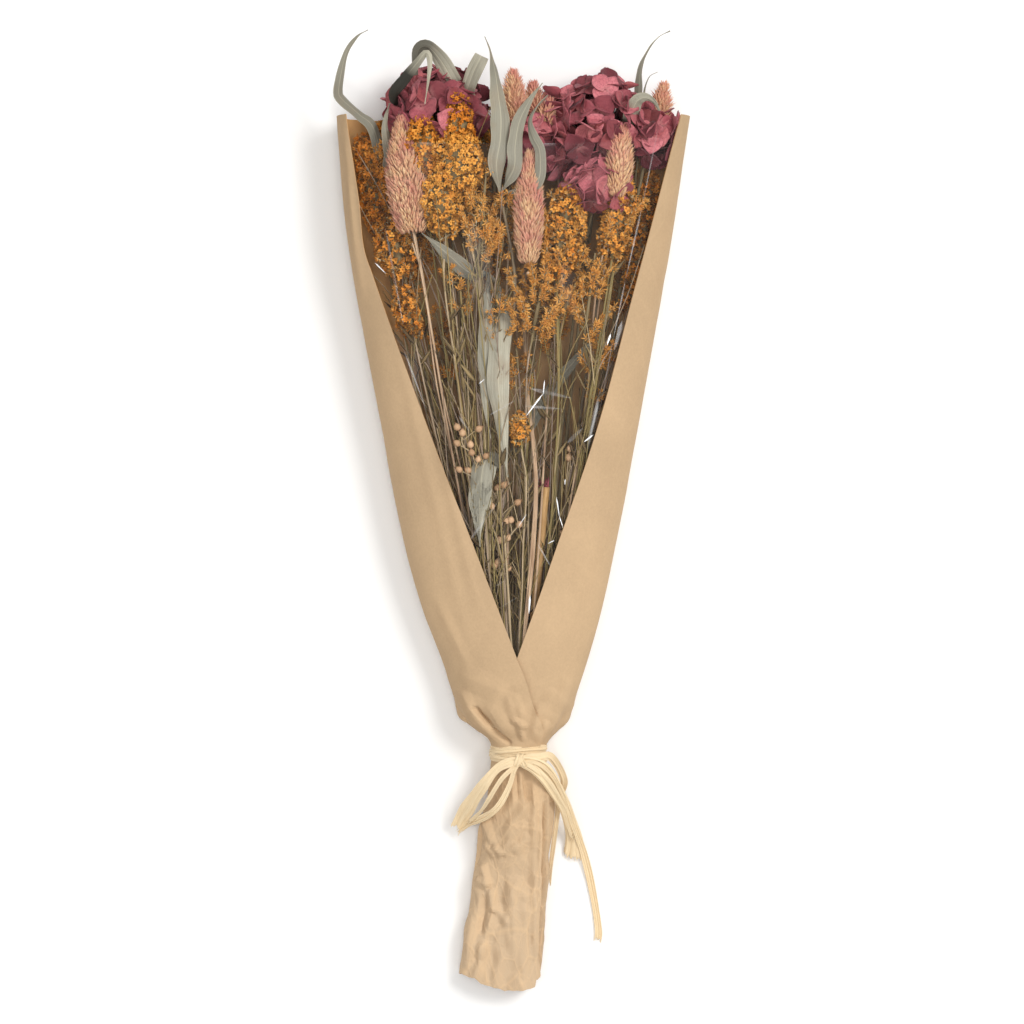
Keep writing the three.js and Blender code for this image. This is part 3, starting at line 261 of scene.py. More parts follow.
# Leafy stems of willow eucalyptus: base, depth, leaves as width, share of it kept at the tip, roll at both
# ends, tone at both ends from 0 dark to 1 pale, and points after the base.
LEAFY = {
    "left": ((-66, 172), 0.3, [
        (6.2, 0, (0.1, 0.9), (0.3, 0.45), [
            (-72, 198, 32), (-79.3, 205.6, 34), (-88.3, 213.4, 37), (-90.2, 218, 38), (-88.4, 229, 39),
            (-85.6, 238.4, 40), (-80, 246, 41), (-74.5, 249.4, 41)]),
        (5.4, 0, (0, 0.6), (0.4, 0.5), [
            (-64, 186, 34), (-66, 200, 38), (-63.4, 212, 36)])]),
    "top_left": ((-40, 190), 0.08, [
        (9.4, 0.3, (0.3, -0.7), (0.9, 0.1), [
            (-24, 212, 24), (-29.8, 222, 36), (-35.4, 231.8, 42), (-40.8, 238.8, 45), (-45, 241, 46),
            (-48.8, 238.6, 45), (-50.2, 232, 43), (-50, 226, 41)]),
        (8.4, 0.9, (0, 0.1), (0.9, 0.9), [
            (-28, 208, 26), (-23.4, 218, 38), (-20, 226.6, 42), (-15.6, 235.6, 44)]),
        (5.8, 0, (0.9, -0.2), (0, 1), [
            (-50, 204, 14), (-61, 214, 42), (-55, 223, 52), (-48, 231, 57), (-44, 235.4, 58.6),
            (-42.2, 232, 59.6), (-42.6, 223, 60.4), (-44.6, 209, 60.4)])]),
    "centre": ((-6, 164), 0.8, [
        (9.4, 0, (0.2, 0.5), (0.55, 0.3), [
            (-8, 178, 54), (-6.4, 190, 55.6), (-6.2, 202, 57.4), (-7.8, 214, 59), (-9.6, 227, 59.4),
            (-11.4, 237, 58), (-14, 244, 56)]),
        (7.6, 0, (-0.3, 0.4), (0.5, 0.5), [
            (1, 176, 54), (1.4, 188, 56), (3.4, 200, 58), (9, 211, 59), (15.6, 220, 57.6)]),
        (5.6, 0, (0.2, -0.9), (0.4, 0.3), [
            (12, 168, 54), (14.6, 184, 56.6), (11, 193, 57.6), (9.4, 201, 58.4), (13, 208, 58),
            (18.4, 214, 56)])]),
    "right": ((64, 190), 0.2, [
        (4.2, 0, (0.5, 1.0), (0.25, 0.4), [
            (66, 208, 20), (65.8, 220, 26), (66.6, 231, 30), (70.6, 240, 33), (76, 246.4, 35),
            (82, 249.4, 36)]),
        (9.4, 0.1, (0, 0.2), (0.9, 0.6), [
            (62, 202, 38), (62, 207.4, 46), (64.6, 212.2, 51), (69, 213.4, 52), (73.4, 211, 50),
            (76, 207, 47)]),
        (1.3, 0, (0, 0.4), (0.3, 0.3), [
            (68, 208, 30), (68.6, 218, 34), (71, 225.4, 36), (75.4, 228, 37)])]),
    "middle": ((-12, 124), 0.5, [
        (11.4, 0, (0, 0.1), (0.9, 1), [
            (-8, 118, 30), (-6.4, 106, 34), (-6.2, 93, 42), (-6.8, 79, 47.6), (-7.2, 66, 48),
            (-5.2, 46, 46), (-3.8, 32, 44.4), (-2.4, 18, 42.6)]),
        (7, 0, (-0.2, 0), (0.6, 0.8), [
            (-13, 108, 42), (-14, 86, 46), (-14, 66, 46), (-13, 50, 44), (-11, 38, 42)]),
        (7.8, 0, (0.2, -0.2), (0.3, 0.4), [
            (-22, 124, 43), (-31, 131, 46), (-40, 138.6, 48), (-46.4, 143.6, 48)])]),
    "low": ((-5, 22), 0.55, [
        (12.4, 0, (0.3, -0.2), (0.6, 1), [
            (-8, 24, 34), (-13, 26, 39), (-15.4, 17, 42), (-16.6, 6, 42), (-17.2, -5, 41), (-16.6, -18, 39)]),
        (6, 0, (0, 0.3), (0.4, 0.4), [
            (6, 40, 15), (22, 66, 15), (42, 90, 15), (52, 105, 15)])]),
}
BOLL_RADIUS, BOLL_TWIG = 1.75, 0.36  # of a flax boll and of the twig that bears it
# Sprays of flax: base, depth, seed bolls.
BOLLS = {
    "left": ((-15, 14), 0.94, [
        (-17, 43), (-28.4, 44), (-25.6, 41), (-21.4, 35), (-20.8, 30.8), (-13.4, 29), (-17.4, 27.4),
        (-27.4, 22), (-22.8, 21.6), (-28.4, 35.6)]),
    "middle": ((-4, -12), 0.92, [
        (-15, 15.6), (-16.6, 10.6), (-12.4, 11.8), (-15.4, 7.6), (-10.6, 3.2), (-4.4, 14), (3, 5),
        (-7.6, 12.6)]),
    "low": ((-5, -36), 0.86, [
        (-3, -4.6), (-0.6, -4), (4, -6.4), (-2, -13.4), (-6.4, -14.6), (-7.4, -26), (-3.6, -25.4),
        (-1.8, -29), (-9, -28)]),
    "right": ((30, 4), 0.7, [
        (29.4, 28.4), (34, 28.2), (30, 33), (26, -11)]),
}
STALK = ((17.6, 13), 0.8, 2.3)  # the thick bare stalk: top, depth, radius


def srgb(code):
    """A colour written as six hexadecimal digits, in linear light."""
    parts = [int(code[i:i + 2], 16) / 255 for i in (0, 2, 4)]
    return tuple(c / 12.92 if c <= 0.04045 else ((c + 0.055) / 1.055) ** 2.4 for c in parts)


def times(colour, red, green=None, blue=None):
    """A colour whose red, green and blue are multiplied, or all three by the first number."""
    factors = (red, red if green is None else green, red if blue is None else blue)
    return tuple(min(1, c * f) for c, f in zip(colour, factors))


# ---------------------------------------------------------------- the sleeve's surface, in millimetres
def look_up(table, y, column):
    """A column of a table sorted by y, read along a smooth curve."""
    rows = np.array(sorted(table), float)
    ys, values = rows[:, 0], rows[:, column]
    before, after = np.maximum(np.arange(len(ys)) - 1, 0), np.minimum(np.arange(len(ys)) + 1, len(ys) - 1)
    slope = (values[after] - values[before]) / (ys[after] - ys[before])
    k = np.clip(np.searchsorted(ys, y, side="right") - 1, 0, len(ys) - 2)
    span = ys[k + 1] - ys[k]
    t = np.clip((y - ys[k]) / span, 0, 1)
    t2, t3 = t * t, t * t * t
    return ((2 * t3 - 3 * t2 + 1) * values[k] + (t3 - 2 * t2 + t) * span * slope[k]
            + (3 * t2 - 2 * t3) * values[k + 1] + (t3 - t2) * span * slope[k + 1])


def section(y):
    """Middle, half width, underside and top of the sleeve at y."""
    left, right, base, top = (look_up(OUTLINE, y, c) for c in (1, 2, 3, 4))
    return (left + right) / 2, (right - left) / 2, base, top


def bump(y, centre, spread):
    return np.exp(-((y - centre) / spread) ** 2)


def smooth_step(x, low, high):
    t = np.clip((x - low) / (high - low), 0, 1)
    return t * t * (3 - 2 * t)


def wrap_points(y, phi, inset):
    """Points of the sleeve. Phi is 0 at the middle of the front and rises to the right."""
    cx, half, base, top = section(y)
    gathered = sum(height * bump(y, at, spread) for height, at, spread in GATHERS)
    fold = 1 + gathered * np.cos(PLEATS * phi + PLEAT_TURN)
    middle = base + (top - base) * BELLY
    c = np.cos(phi)
    x = cx + (half - inset) * fold * np.sin(phi)
    front = middle + (top - inset - middle) * fold * np.abs(c) ** FRONT_ROUND
    back = middle - (middle - inset - base) * np.minimum(1, BACK_FULL * fold * np.abs(c) ** BACK_ROUND)
    return np.stack([x, y + 0 * phi, np.where(c > 0, front, back)], -1)


def lift_at(phi):
    """How far the paper stands off its outline: the left flap rises to lie over the right one."""
    return FLAP_LIFT * smooth_step(phi, *LIFT_ANGLES)


def flap_angles(y):
    """The angles of the left and right flaps' edges. Below the window they pass each other."""
    cx, half, _, _ = section(y)
    left, right = (np.arcsin(np.clip((look_up(flap, y, 1) - cx) / half, -0.999, 0.999))
                   for flap in (LEFT_FLAP, RIGHT_FLAP))
    over = look_up(OVERLAP, y, 1)
    return np.where(y >= VEE, left, over), np.where(y >= VEE, right, -over)


def ceiling(x, y, inset):
    """Height of the sleeve's or window's upper face, less inset."""
    cx, half, base, top = section(np.minimum(y, TOP))
    across = np.clip(np.abs(x - cx) / (half - inset), 0, CEILING_EDGE)
    middle = base + (top - base) * BELLY
    return middle + (top - inset - middle) * (1 - across ** 2) ** CEILING_ROUND


def inside(x, y, depth, radius):
    """A point inside the sleeve at a depth, with room for a radius."""
    low = float(section(min(y, TOP))[2]) + INNER + radius
    high = float(ceiling(x, y, INNER)) - radius
    return np.array([x, y, low + (high - low) * depth if high > low else (low + high) / 2])


def press_in(points):
    """Keeps points of a flower inside the paper and under the film."""
    x, y, z = points.T
    cx, half, base, _ = section(np.minimum(y, TOP))
    held = y < TOP - 2
    x = np.where(held, np.clip(x, cx - half + SIDE_GAP, cx + half - SIDE_GAP), x)
    film_end = FILM_ENDS[1] + FILM_CORNER * np.abs((x - cx) / half) ** 3
    z = np.where(y < film_end, np.minimum(z, ceiling(x, y, FILM_GAP)), z)
    return np.stack([x, y, np.maximum(z, np.where(held, base + BACK_GAP, TABLE_GAP))], -1)


# ---------------------------------------------------------------- paths and directions
def unit(v):
    return v / np.maximum(np.linalg.norm(v, axis=-1, keepdims=True), 1e-9)


def smooth_path(points, step, pieces=16):
    """A smooth curve through points, as points about a step apart. Each stretch is first cut into pieces."""
    p = np.array(points, float)
    padded = np.vstack([2 * p[0] - p[1], p, 2 * p[-1] - p[-2]])
    fine = []
    for a, b, c, d in zip(padded, padded[1:], padded[2:], padded[3:]):
        t = np.linspace(0, 1, pieces, endpoint=False)[:, None]
        fine.append(0.5 * (2 * b + (c - a) * t + (2 * a - 5 * b + 4 * c - d) * t ** 2
                           + (3 * b - a - 3 * c + d) * t ** 3))
    fine = np.vstack([*fine, p[-1:]])
    far = np.concatenate([[0], np.cumsum(np.linalg.norm(np.diff(fine, axis=0), axis=1))])
    at = np.linspace(0, far[-1], max(3, int(far[-1] / step) + 1))
    return np.stack([np.interp(at, far, fine[:, i]) for i in range(3)], -1)


def tangents(path):
    return unit(np.gradient(path, axis=0))


def frame_of(x, y):
    """A frame, with its axes in columns, or a stack of frames, from its first two axes."""
    return np.stack([x, y, np.cross(x, y)], -1)


def axes(out, spin):
    """Frames whose third axis is `out`, turned about it by spin. Each is 3 x 3, with its axes in columns."""
    out = unit(out)
    helper = np.where(np.abs(out[:, 2:3]) > 0.9, [[1.0, 0, 0]], [[0, 0, 1.0]])
    a = unit(np.cross(helper, out))
    b = np.cross(out, a)
    c, s = np.cos(spin)[:, None], np.sin(spin)[:, None]
    return np.stack([a * c + b * s, b * c - a * s, out], -1)


def flat_sides(path, roll):
    """Sideways and upward directions of a strip that lies face up, turned about its path by roll."""
    along = tangents(path)
    side = np.cross(along, UP)
    side[np.linalg.norm(side, axis=1) < 0.05] = [1, 0, 0]
    side = unit(side)
    up = np.cross(side, along)
    r = np.asarray(roll)[:, None]
    return (side * np.cos(r) + np.cross(along, side) * np.sin(r),
            up * np.cos(r) + np.cross(along, up) * np.sin(r))


def outward(table):
    """Unit directions square to a table of points."""
    return unit(np.cross(np.gradient(table, axis=1), np.gradient(table, axis=0)))


def placed(points):
    """Points in millimetres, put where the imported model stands, in metres."""
    return (points + SHIFT) * MM


# ---------------------------------------------------------------- shapes and bunches of them
class Shape:
    """A shape's points and faces. Kind and along tell its material what each point is."""

    def __init__(self, points, loops, sizes, kind, along, smooth=True):
        self.points, self.loops, self.sizes = np.asarray(points, float), np.asarray(loops), np.asarray(sizes)
        self.kind = np.broadcast_to(kind, len(self.points))
        self.along = np.broadcast_to(along, len(self.points))
        self.smooth = np.broadcast_to(smooth, len(self.sizes))


class Bunch:
    """Copies of shapes gathered into one mesh."""
    marks = ("kind", "along", "shade", "rise")

    def __init__(self):
        self.rows = {k: [] for k in ("points", "loops", "sizes", "smooth", *self.marks)}
        self.count = 0

    def add(self, shape, turns=None, places=None, sizes=1.0, shade=0.5, rise=0.5):
        """Adds a copy of the shape in each frame and place, with its own size, shade and rise."""
        turns = np.eye(3)[None] if turns is None else turns
        places = np.zeros((1, 3)) if places is None else places
        n, m = len(places), len(shape.points)
        if n == 0:
            return
        sizes = np.asarray(sizes, float)
        sizes = np.broadcast_to(sizes, n)[:, None] if sizes.ndim < 2 else sizes
        local = shape.points[None] * sizes[:, None]
        points = places[:, None] + np.einsum("nij,nmj->nmi", np.broadcast_to(turns, (n, 3, 3)), local)
        loops = (shape.loops[None] + (self.count + m * np.arange(n))[:, None]).ravel()
        new = {"points": points.reshape(-1, 3), "loops": loops,
               **{k: np.tile(getattr(shape, k), n) for k in ("sizes", "smooth", "kind", "along")},
               **{k: np.repeat(np.broadcast_to(v, n), m) for k, v in (("shade", shade), ("rise", rise))}}
        for key, value in new.items():
            self.rows[key].append(value)
        self.count += n * m

    def put(self, shape, x, y, place, size, shade, rise):
        """Adds one copy with its first two axes, its place and its size along all three."""
        self.add(shape, frame_of(x, y)[None], place[None], np.array([size]), shade, rise)

    def rod(self, points, step, radii, sides, kind=0.0, shade=0.5, rise=0.0):
        """Adds a round rod on a smooth curve through points."""
        self.add(tube(smooth_path(points, step), radii, sides, kind), shade=shade, rise=rise)

    def data(self):
        return {k: np.concatenate(v) for k, v in self.rows.items()}

    def object(self, name, finish, press=True):
        """The bunch as one object with its attributes and its material."""
        data = self.data()
        points = press_in(data["points"]) if press else data["points"]
        mesh = bpy.data.meshes.new(name)
        mesh.vertices.add(len(points))
        mesh.loops.add(len(data["loops"]))
        mesh.polygons.add(len(data["sizes"]))
        mesh.vertices.foreach_set("co", placed(points).astype(np.float32).ravel())
        mesh.loops.foreach_set("vertex_index", data["loops"].astype(np.int32))
        starts = np.concatenate([[0], np.cumsum(data["sizes"])[:-1]])
        mesh.polygons.foreach_set("loop_start", starts.astype(np.int32))
        mesh.polygons.foreach_set("use_smooth", data["smooth"].astype(bool))
        for key in self.marks:
            mark(mesh, key, data[key])
        mesh.update(calc_edges=True)
        mesh.validate()
        piece = bpy.data.objects.new(name, mesh)
        bpy.context.scene.collection.objects.link(piece)
        if finish:
            mesh.materials.append(finish)
        return piece


def tube(path, radii, sides, kind=0.0):
    """A closed round rod along a path, with a radius at each point."""
    along = tangents(path)
    side = np.cross(along[0], UP if abs(along[0][2]) < 0.9 else np.array([1.0, 0, 0]))
    rings = []
    turn = np.arange(sides) * 2 * math.pi / sides
    radii = np.atleast_1d(radii)
    radii = np.interp(np.linspace(0, 1, len(path)), np.linspace(0, 1, len(radii)), radii)
    for p, t, r in zip(path, along, radii):
        side = side - t * np.dot(side, t)
        side = side / np.linalg.norm(side)
        other = np.cross(t, side)
        rings.append(p + r * (np.cos(turn)[:, None] * side + np.sin(turn)[:, None] * other))
    n = len(path)
    ring, column = sides * np.arange(n - 1)[:, None], np.arange(sides)[None]
    a, b = (ring + column).ravel(), (ring + (column + 1) % sides).ravel()
    quads = np.stack([a, b, b + sides, a + sides], -1)
    loops = np.concatenate([quads.ravel(), np.arange(sides)[::-1], (n - 1) * sides + np.arange(sides)])
    smooth = np.array([True] * len(quads) + [False, False])
    share = np.repeat(np.linspace(0, 1, n), sides)
    return Shape(np.vstack(rings), loops, [4] * len(quads) + [sides, sides], kind, share, smooth)


def joined(parts):
    """One shape of several, each a shape, a frame, a place and a size."""
    bunch = Bunch()
    for shape, turn, place, size in parts:
        bunch.add(shape, np.asarray(turn)[None], np.asarray(place, float)[None], np.array([size]))
    d = bunch.data()
    return Shape(d["points"], d["loops"], d["sizes"], d["kind"], d["along"], d["smooth"])


# ---------------------------------------------------------------- modelling
def deselect():
    if bpy.context.object and bpy.context.object.mode != "OBJECT":
        bpy.ops.object.mode_set(mode="OBJECT")
    bpy.ops.object.select_all(action="DESELECT")


def select(*pieces):
    """Selects pieces alone, with the first one active."""
    deselect()
    for piece in pieces:
        piece.select_set(True)
    bpy.context.view_layer.objects.active = pieces[0]


def pick(piece, test):
    """Selects, in edit mode, the points of a piece that pass a test of their place."""
    bpy.ops.object.mode_set(mode="OBJECT")
    mesh = piece.data
    mesh.polygons.foreach_set("select", [False] * len(mesh.polygons))
    mesh.edges.foreach_set("select", [False] * len(mesh.edges))
    mesh.vertices.foreach_set("select", [bool(test(v.co)) for v in mesh.vertices])
    bpy.ops.object.mode_set(mode="EDIT")
    bpy.ops.mesh.select_mode(type="VERT")


def points_of(mesh):
    """A mesh's points as a table of x, y, z."""
    co = np.zeros(len(mesh.vertices) * 3)
    mesh.vertices.foreach_get("co", co)
    return co.reshape(-1, 3)


def mark(mesh, name, values):
    """Gives a mesh's points an attribute that its material reads."""
    mesh.attributes.new(name, "FLOAT", "POINT").data.foreach_set("value", values.astype(np.float32))


def marks_of(mesh, name):
    values = np.zeros(len(mesh.vertices))
    mesh.attributes[name].data.foreach_get("value", values)
    return values


def grid_sheet(places, thick, offset=0.0, **marks):
    """A sheet of a given thickness whose points are a table of places: rows, columns, x y z. A mark is a
    table of numbers that its material reads."""
    rows, columns = places.shape[:2]
    deselect()
    bpy.ops.mesh.primitive_grid_add(x_subdivisions=columns - 1, y_subdivisions=rows - 1, size=2)
    piece = bpy.context.object
    co = points_of(piece.data)
    j = np.rint((co[:, 0] + 1) / 2 * (columns - 1)).astype(int)
    i = np.rint((co[:, 1] + 1) / 2 * (rows - 1)).astype(int)
    piece.data.vertices.foreach_set("co", places[i, j].ravel())
    mark(piece.data, "along", i / (rows - 1))
    mark(piece.data, "across", j / (columns - 1))
    for name, table in marks.items():
        mark(piece.data, name, table[i, j])
    select(piece)
    solidify = piece.modifiers.new("Solidify", "SOLIDIFY")
    solidify.thickness, solidify.offset = thick, offset
    bpy.ops.object.modifier_apply(modifier=solidify.name)
    return piece


def take(piece, kind=0.0, along=None, smooth=True):
    """The shape of a modelled piece, which is then removed. Kind and along may be worked out from points."""
    deselect()
    mesh = piece.data
    loops = np.zeros(len(mesh.loops), int)
    mesh.loops.foreach_get("vertex_index", loops)
    sizes = [p.loop_total for p in mesh.polygons]
    points = points_of(mesh)
    kind = kind(points) if callable(kind) else kind
    along = marks_of(mesh, "along") if along is None else along(points) if callable(along) else along
    shape = Shape(points, loops, sizes, kind, along, smooth)
    bpy.data.objects.remove(piece)
    return shape


def turn_outward(piece):
    """Turns a closed piece right side out."""
    select(piece)
    piece.data.calc_loop_triangles()
    volume = 0.0
    for t in piece.data.loop_triangles:
        a, b, c = (piece.data.vertices[i].co for i in t.vertices)
        volume += a.dot(b.cross(c))
    if volume < 0:
        bpy.ops.object.mode_set(mode="EDIT")
        bpy.ops.mesh.select_all(action="SELECT")
        bpy.ops.mesh.flip_normals()
        bpy.ops.object.mode_set(mode="OBJECT")


def join_pieces(pieces, name, sharp=50):
    """One piece of several, smooth but for edges sharper than so many degrees."""
    select(*pieces)
    bpy.ops.object.join()
    piece = bpy.context.object
    piece.name = piece.data.name = name
    bpy.ops.object.shade_smooth_by_angle(angle=math.radians(sharp))
    return piece


def finish_piece(piece, slot, *nodes):
    """Makes a piece stand for its nodes, which are hidden, and ride with the bouquet. Its slot is not used.
    """
    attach(piece, "root")
    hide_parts(*nodes)


# ---------------------------------------------------------------- shader maths
class Field:
    """A socket's value, which can be added, multiplied and so on to make further nodes."""

    def __init__(self, paint, socket):
        self.paint, self.socket = paint, socket

    def maths(self, operation, *others, first=True):
        values = (self, *others) if first else (*others, self)
        return self.paint.field(0, "ShaderNodeMath", {"operation": operation}, dict(enumerate(values)))

    def __add__(self, other): return self.maths("ADD", other)
    def __radd__(self, other): return self.maths("ADD", other)
    def __sub__(self, other): return self.maths("SUBTRACT", other)
    def __rsub__(self, other): return self.maths("SUBTRACT", other, first=False)
    def __mul__(self, other): return self.maths("MULTIPLY", other)
    def __rmul__(self, other): return self.maths("MULTIPLY", other)
    def __truediv__(self, other): return self.maths("DIVIDE", other)
    def __rtruediv__(self, other): return self.maths("DIVIDE", other, first=False)
    def __abs__(self): return self.maths("ABSOLUTE")

    def clamp(self): return self.maths("MINIMUM", 1.0).maths("MAXIMUM", 0.0)
    def step(self, low, high): return ((self - low) / (high - low)).clamp()


class Paint:
    """A material and the nodes that make it. A colour is a field, hexadecimal digits or numbers."""

    def __init__(self, name, **constants):
        self.material = bpy.data.materials.new(name)
        self.material.use_nodes = True
        self.tree = self.material.node_tree
        self.shader = next(n for n in self.tree.nodes if n.type == "BSDF_PRINCIPLED")
        self.output = next(n for n in self.tree.nodes if n.type == "OUTPUT_MATERIAL")
        for key, value in constants.items():
            self.shader.inputs[key.replace("_", " ").title().replace("Ior", "IOR")].default_value = value

    def node(self, kind, settings=None, inputs=None):
        """A node of a kind, with its settings made before its inputs are set or linked."""
        node = self.tree.nodes.new(kind)
        for key, value in (settings or {}).items():
            if key == "stops":
                ramp = node.color_ramp
                for i, (at, colour) in enumerate(value):
                    stop = ramp.elements[i] if i < 2 else ramp.elements.new(at)
                    stop.position, stop.color = at, self.rgba(colour)
            else:
                setattr(node, key, value)
        for key, value in (inputs or {}).items():
            if isinstance(value, Field):
                self.tree.links.new(value.socket, node.inputs[key])
            else:
                node.inputs[key].default_value = value
        return node

    def field(self, output, *node):
        """One of the outputs of a new node."""
        return Field(self, self.node(*node).outputs[output])

    def rgba(self, colour):
        if isinstance(colour, Field):
            return colour
        return (*(srgb(colour) if isinstance(colour, str) else colour), 1)

    def attributes(self, *names):
        return [self.field("Fac", "ShaderNodeAttribute", {"attribute_name": name}) for name in names]

    def place(self, scale=(1, 1, 1), turn=(0, 0, 0)):
        """Object coordinates, stretched and turned."""
        here = self.field("Object", "ShaderNodeTexCoord")
        return self.field(0, "ShaderNodeMapping", None, {"Vector": here, "Scale": scale, "Rotation": turn})

    def noise(self, scale, detail=3.0, rough=0.55, at=None):
        inputs = {"Scale": scale, "Detail": detail, "Roughness": rough, "Vector": at or self.place()}
        return self.field("Fac", "ShaderNodeTexNoise", None, inputs)

    def cracks(self, scale, at):
        """How far each place is from the straight borders of random cells."""
        settings = {"feature": "DISTANCE_TO_EDGE"}
        return self.field("Distance", "ShaderNodeTexVoronoi", settings, {"Scale": scale, "Vector": at})

    def combine(self, x, y, z=0.0):
        return self.field(0, "ShaderNodeCombineXYZ", None, {0: x, 1: y, 2: z})

    def ramp(self, value, stops):
        return self.field("Color", "ShaderNodeValToRGB", {"stops": stops}, {"Fac": value})

    def mix(self, share, a, b):
        """Two colours mixed."""
        inputs = {0: share, 6: self.rgba(a), 7: self.rgba(b)}
        return self.field(2, "ShaderNodeMix", {"data_type": "RGBA", "blend_type": "MIX"}, inputs)

    def layers(self, colour, *coats):
        """A colour with coats laid over it in turn, each with the share that it covers."""
        for share, coat in coats:
            colour = self.mix(share, colour, coat)
        return colour

    def streaks(self, scale, dark, light):
        """Two colours in lengthwise streaks, as on a dry stem."""
        return self.mix(self.noise(scale, 3, at=self.place((1, 0.06, 1))).step(0.3, 0.7), dark, light)

    def colour(self, value):
        self.tree.links.new(value.socket, self.shader.inputs["Base Color"])

    def relief(self, height, distance, strength=1.0):
        """A bump of up to a distance, in millimetres."""
        inputs = {"Strength": strength, "Distance": distance * MM, "Height": height}
        bent = self.field(0, "ShaderNodeBump", None, inputs)
        self.tree.links.new(bent.socket, self.shader.inputs["Normal"])


# ---------------------------------------------------------------- settings
def tint(name, description, code):
    return FloatVectorProperty(name=name, description=description, default=srgb(code), size=3, min=0, max=1,
                               subtype="COLOR")


def length(name, description, default, low=0.0, high=1.0):
    return FloatProperty(name=name, description=description, default=default, min=low, max=high,
                         subtype="DISTANCE", unit="LENGTH", precision=4)


class BouquetWrapSettings(bpy.types.PropertyGroup):
    paper_thickness: length("Paper thickness", "Thickness of the kraft paper", 0.0005, 0.0001, 0.001)
    film_thickness: length("Film thickness", "Thickness of the clear window", 0.0002, 0.0001, 0.001)
    raffia_thickness: length("Raffia thickness", "Thickness of a strand of raffia", 0.0003, 0.0001, 0.001)
    crumple: FloatProperty(name="Crumple", description="Height of the paper's creases", default=1, min=0,
                           max=2)
    paper: tint("Paper", "Colour of the kraft paper", "BC9F7C")
    raffia: tint("Raffia", "Colour of the raffia", "E9D3AE")


class BouquetFlowerSettings(bpy.types.PropertyGroup):
    floret: length("Goldenrod floret", "Radius of a goldenrod floret", 0.0021, 0.001, 0.004)
    sepal: length("Hydrangea sepal", "Length of a hydrangea sepal", 0.01, 0.005, 0.015)
    scale: length("Canary grass scale", "Length of a scale of canary grass", 0.0048, 0.003, 0.01)
    seed: IntProperty(name="Seed", description="Changes how the small parts are scattered", default=7, min=0)
    goldenrod: tint("Goldenrod", "Colour of the goldenrod's petals", "DB9838")
    hydrangea: tint("Hydrangea", "Colour of the hydrangea's sepals", "AE5860")
    canary: tint("Canary grass", "Colour of the upper part of the seed spikes", "C4716E")
    leaf: tint("Leaves", "Colour of the eucalyptus leaves", "9A9584")


class BouquetStageSettings(bpy.types.PropertyGroup):
    view_width: length("View width", "Width of what the camera sees at the height of the flowers", 0.5325,
                       0.1, 2)
    lens: FloatProperty(name="Lens", description="Focal length of the camera", default=135, min=20, max=300,
                        unit="CAMERA")
    floor: tint("Floor", "Colour of the floor", "F4F3F1")


# ---------------------------------------------------------------- the paper, the film and the tie
def crease_heights(across, along, creases):
    """Sum of straight creases on an unrolled sheet: a tent along each, which fades out towards its ends.
    Across and along are the places of its points, and a crease is x, y at both ends, height and reach."""
    total = np.zeros(across.shape)
    for x0, y0, x1, y1, height, reach in creases:
        dx, dy = x1 - x0, y1 - y0
        t = np.clip(((across - x0) * dx + (along - y0) * dy) / (dx * dx + dy * dy), 0, 1)
        near = np.hypot(across - x0 - t * dx, along - y0 - t * dy)
        total += height * np.clip(1 - near / reach, 0, 1) * (1 - np.abs(2 * t - 1) ** 4)
    return total


def facet_heights(across, along, wide, long, rng, edge=1e-6):
    """Heights of crumpled paper: flat facets between crease lines, about `wide` across and `long` lengthwise.
    They run from -1 to 1."""
    columns, rows = (np.arange(*reach, size) for reach, size in zip(SHEET_REACH, (wide, long)))
    grid = np.stack(np.meshgrid(columns, rows), -1).reshape(-1, 2)
    sites = grid + rng.uniform(-0.5, 0.5, grid.shape) * [wide, long]
    level = rng.uniform(-1, 1, len(sites))
    corners = [Vector((x / wide, y / long)) for x, y in sites]
    points, _, faces, _, _, _ = delaunay_2d_cdt(corners, [], [], 0, edge)
    u, v = across / wide, along / long
    total = np.zeros(across.shape)
    for face in faces:
        a, b, c = (np.array(points[i]) for i in face)
        low, high = np.minimum(np.minimum(a, b), c), np.maximum(np.maximum(a, b), c)
        at = np.nonzero((u >= low[0]) & (u <= high[0]) & (v >= low[1]) & (v <= high[1]))
        if not len(at[0]):
            continue
        (p, q), (r, w) = b - a, c - a
        area = p * w - q * r
        du, dv = u[at] - a[0], v[at] - a[1]
        s, t = (du * w - dv * r) / area, (dv * p - du * q) / area
        held = (s >= -edge) & (t >= -edge) & (s + t <= 1 + edge)
        first, second, third = (level[i] for i in face)
        value = first + s * (second - first) + t * (third - first)
        total[at[0][held], at[1][held]] = value[held]
    return total


def crumpling(across, along, rng):
    """The relief of the paper: crumpled hard at the foot, folded at the neck and nearly smooth above."""
    foot = np.clip((NECK - 10 - along) / 12, 0, 1)
    neck = bump(along, NECK + 20, 15)
    front = np.clip((along - (VEE - 8)) / 30, 0, 1)
    total = np.zeros(across.shape)
    for share, facets in zip((foot, neck, front), FACETS):
        total += share * sum(height * facet_heights(across, along, wide, long, rng)
                             for height, wide, long in facets)
    return total + crease_heights(across, along, FOLDS)


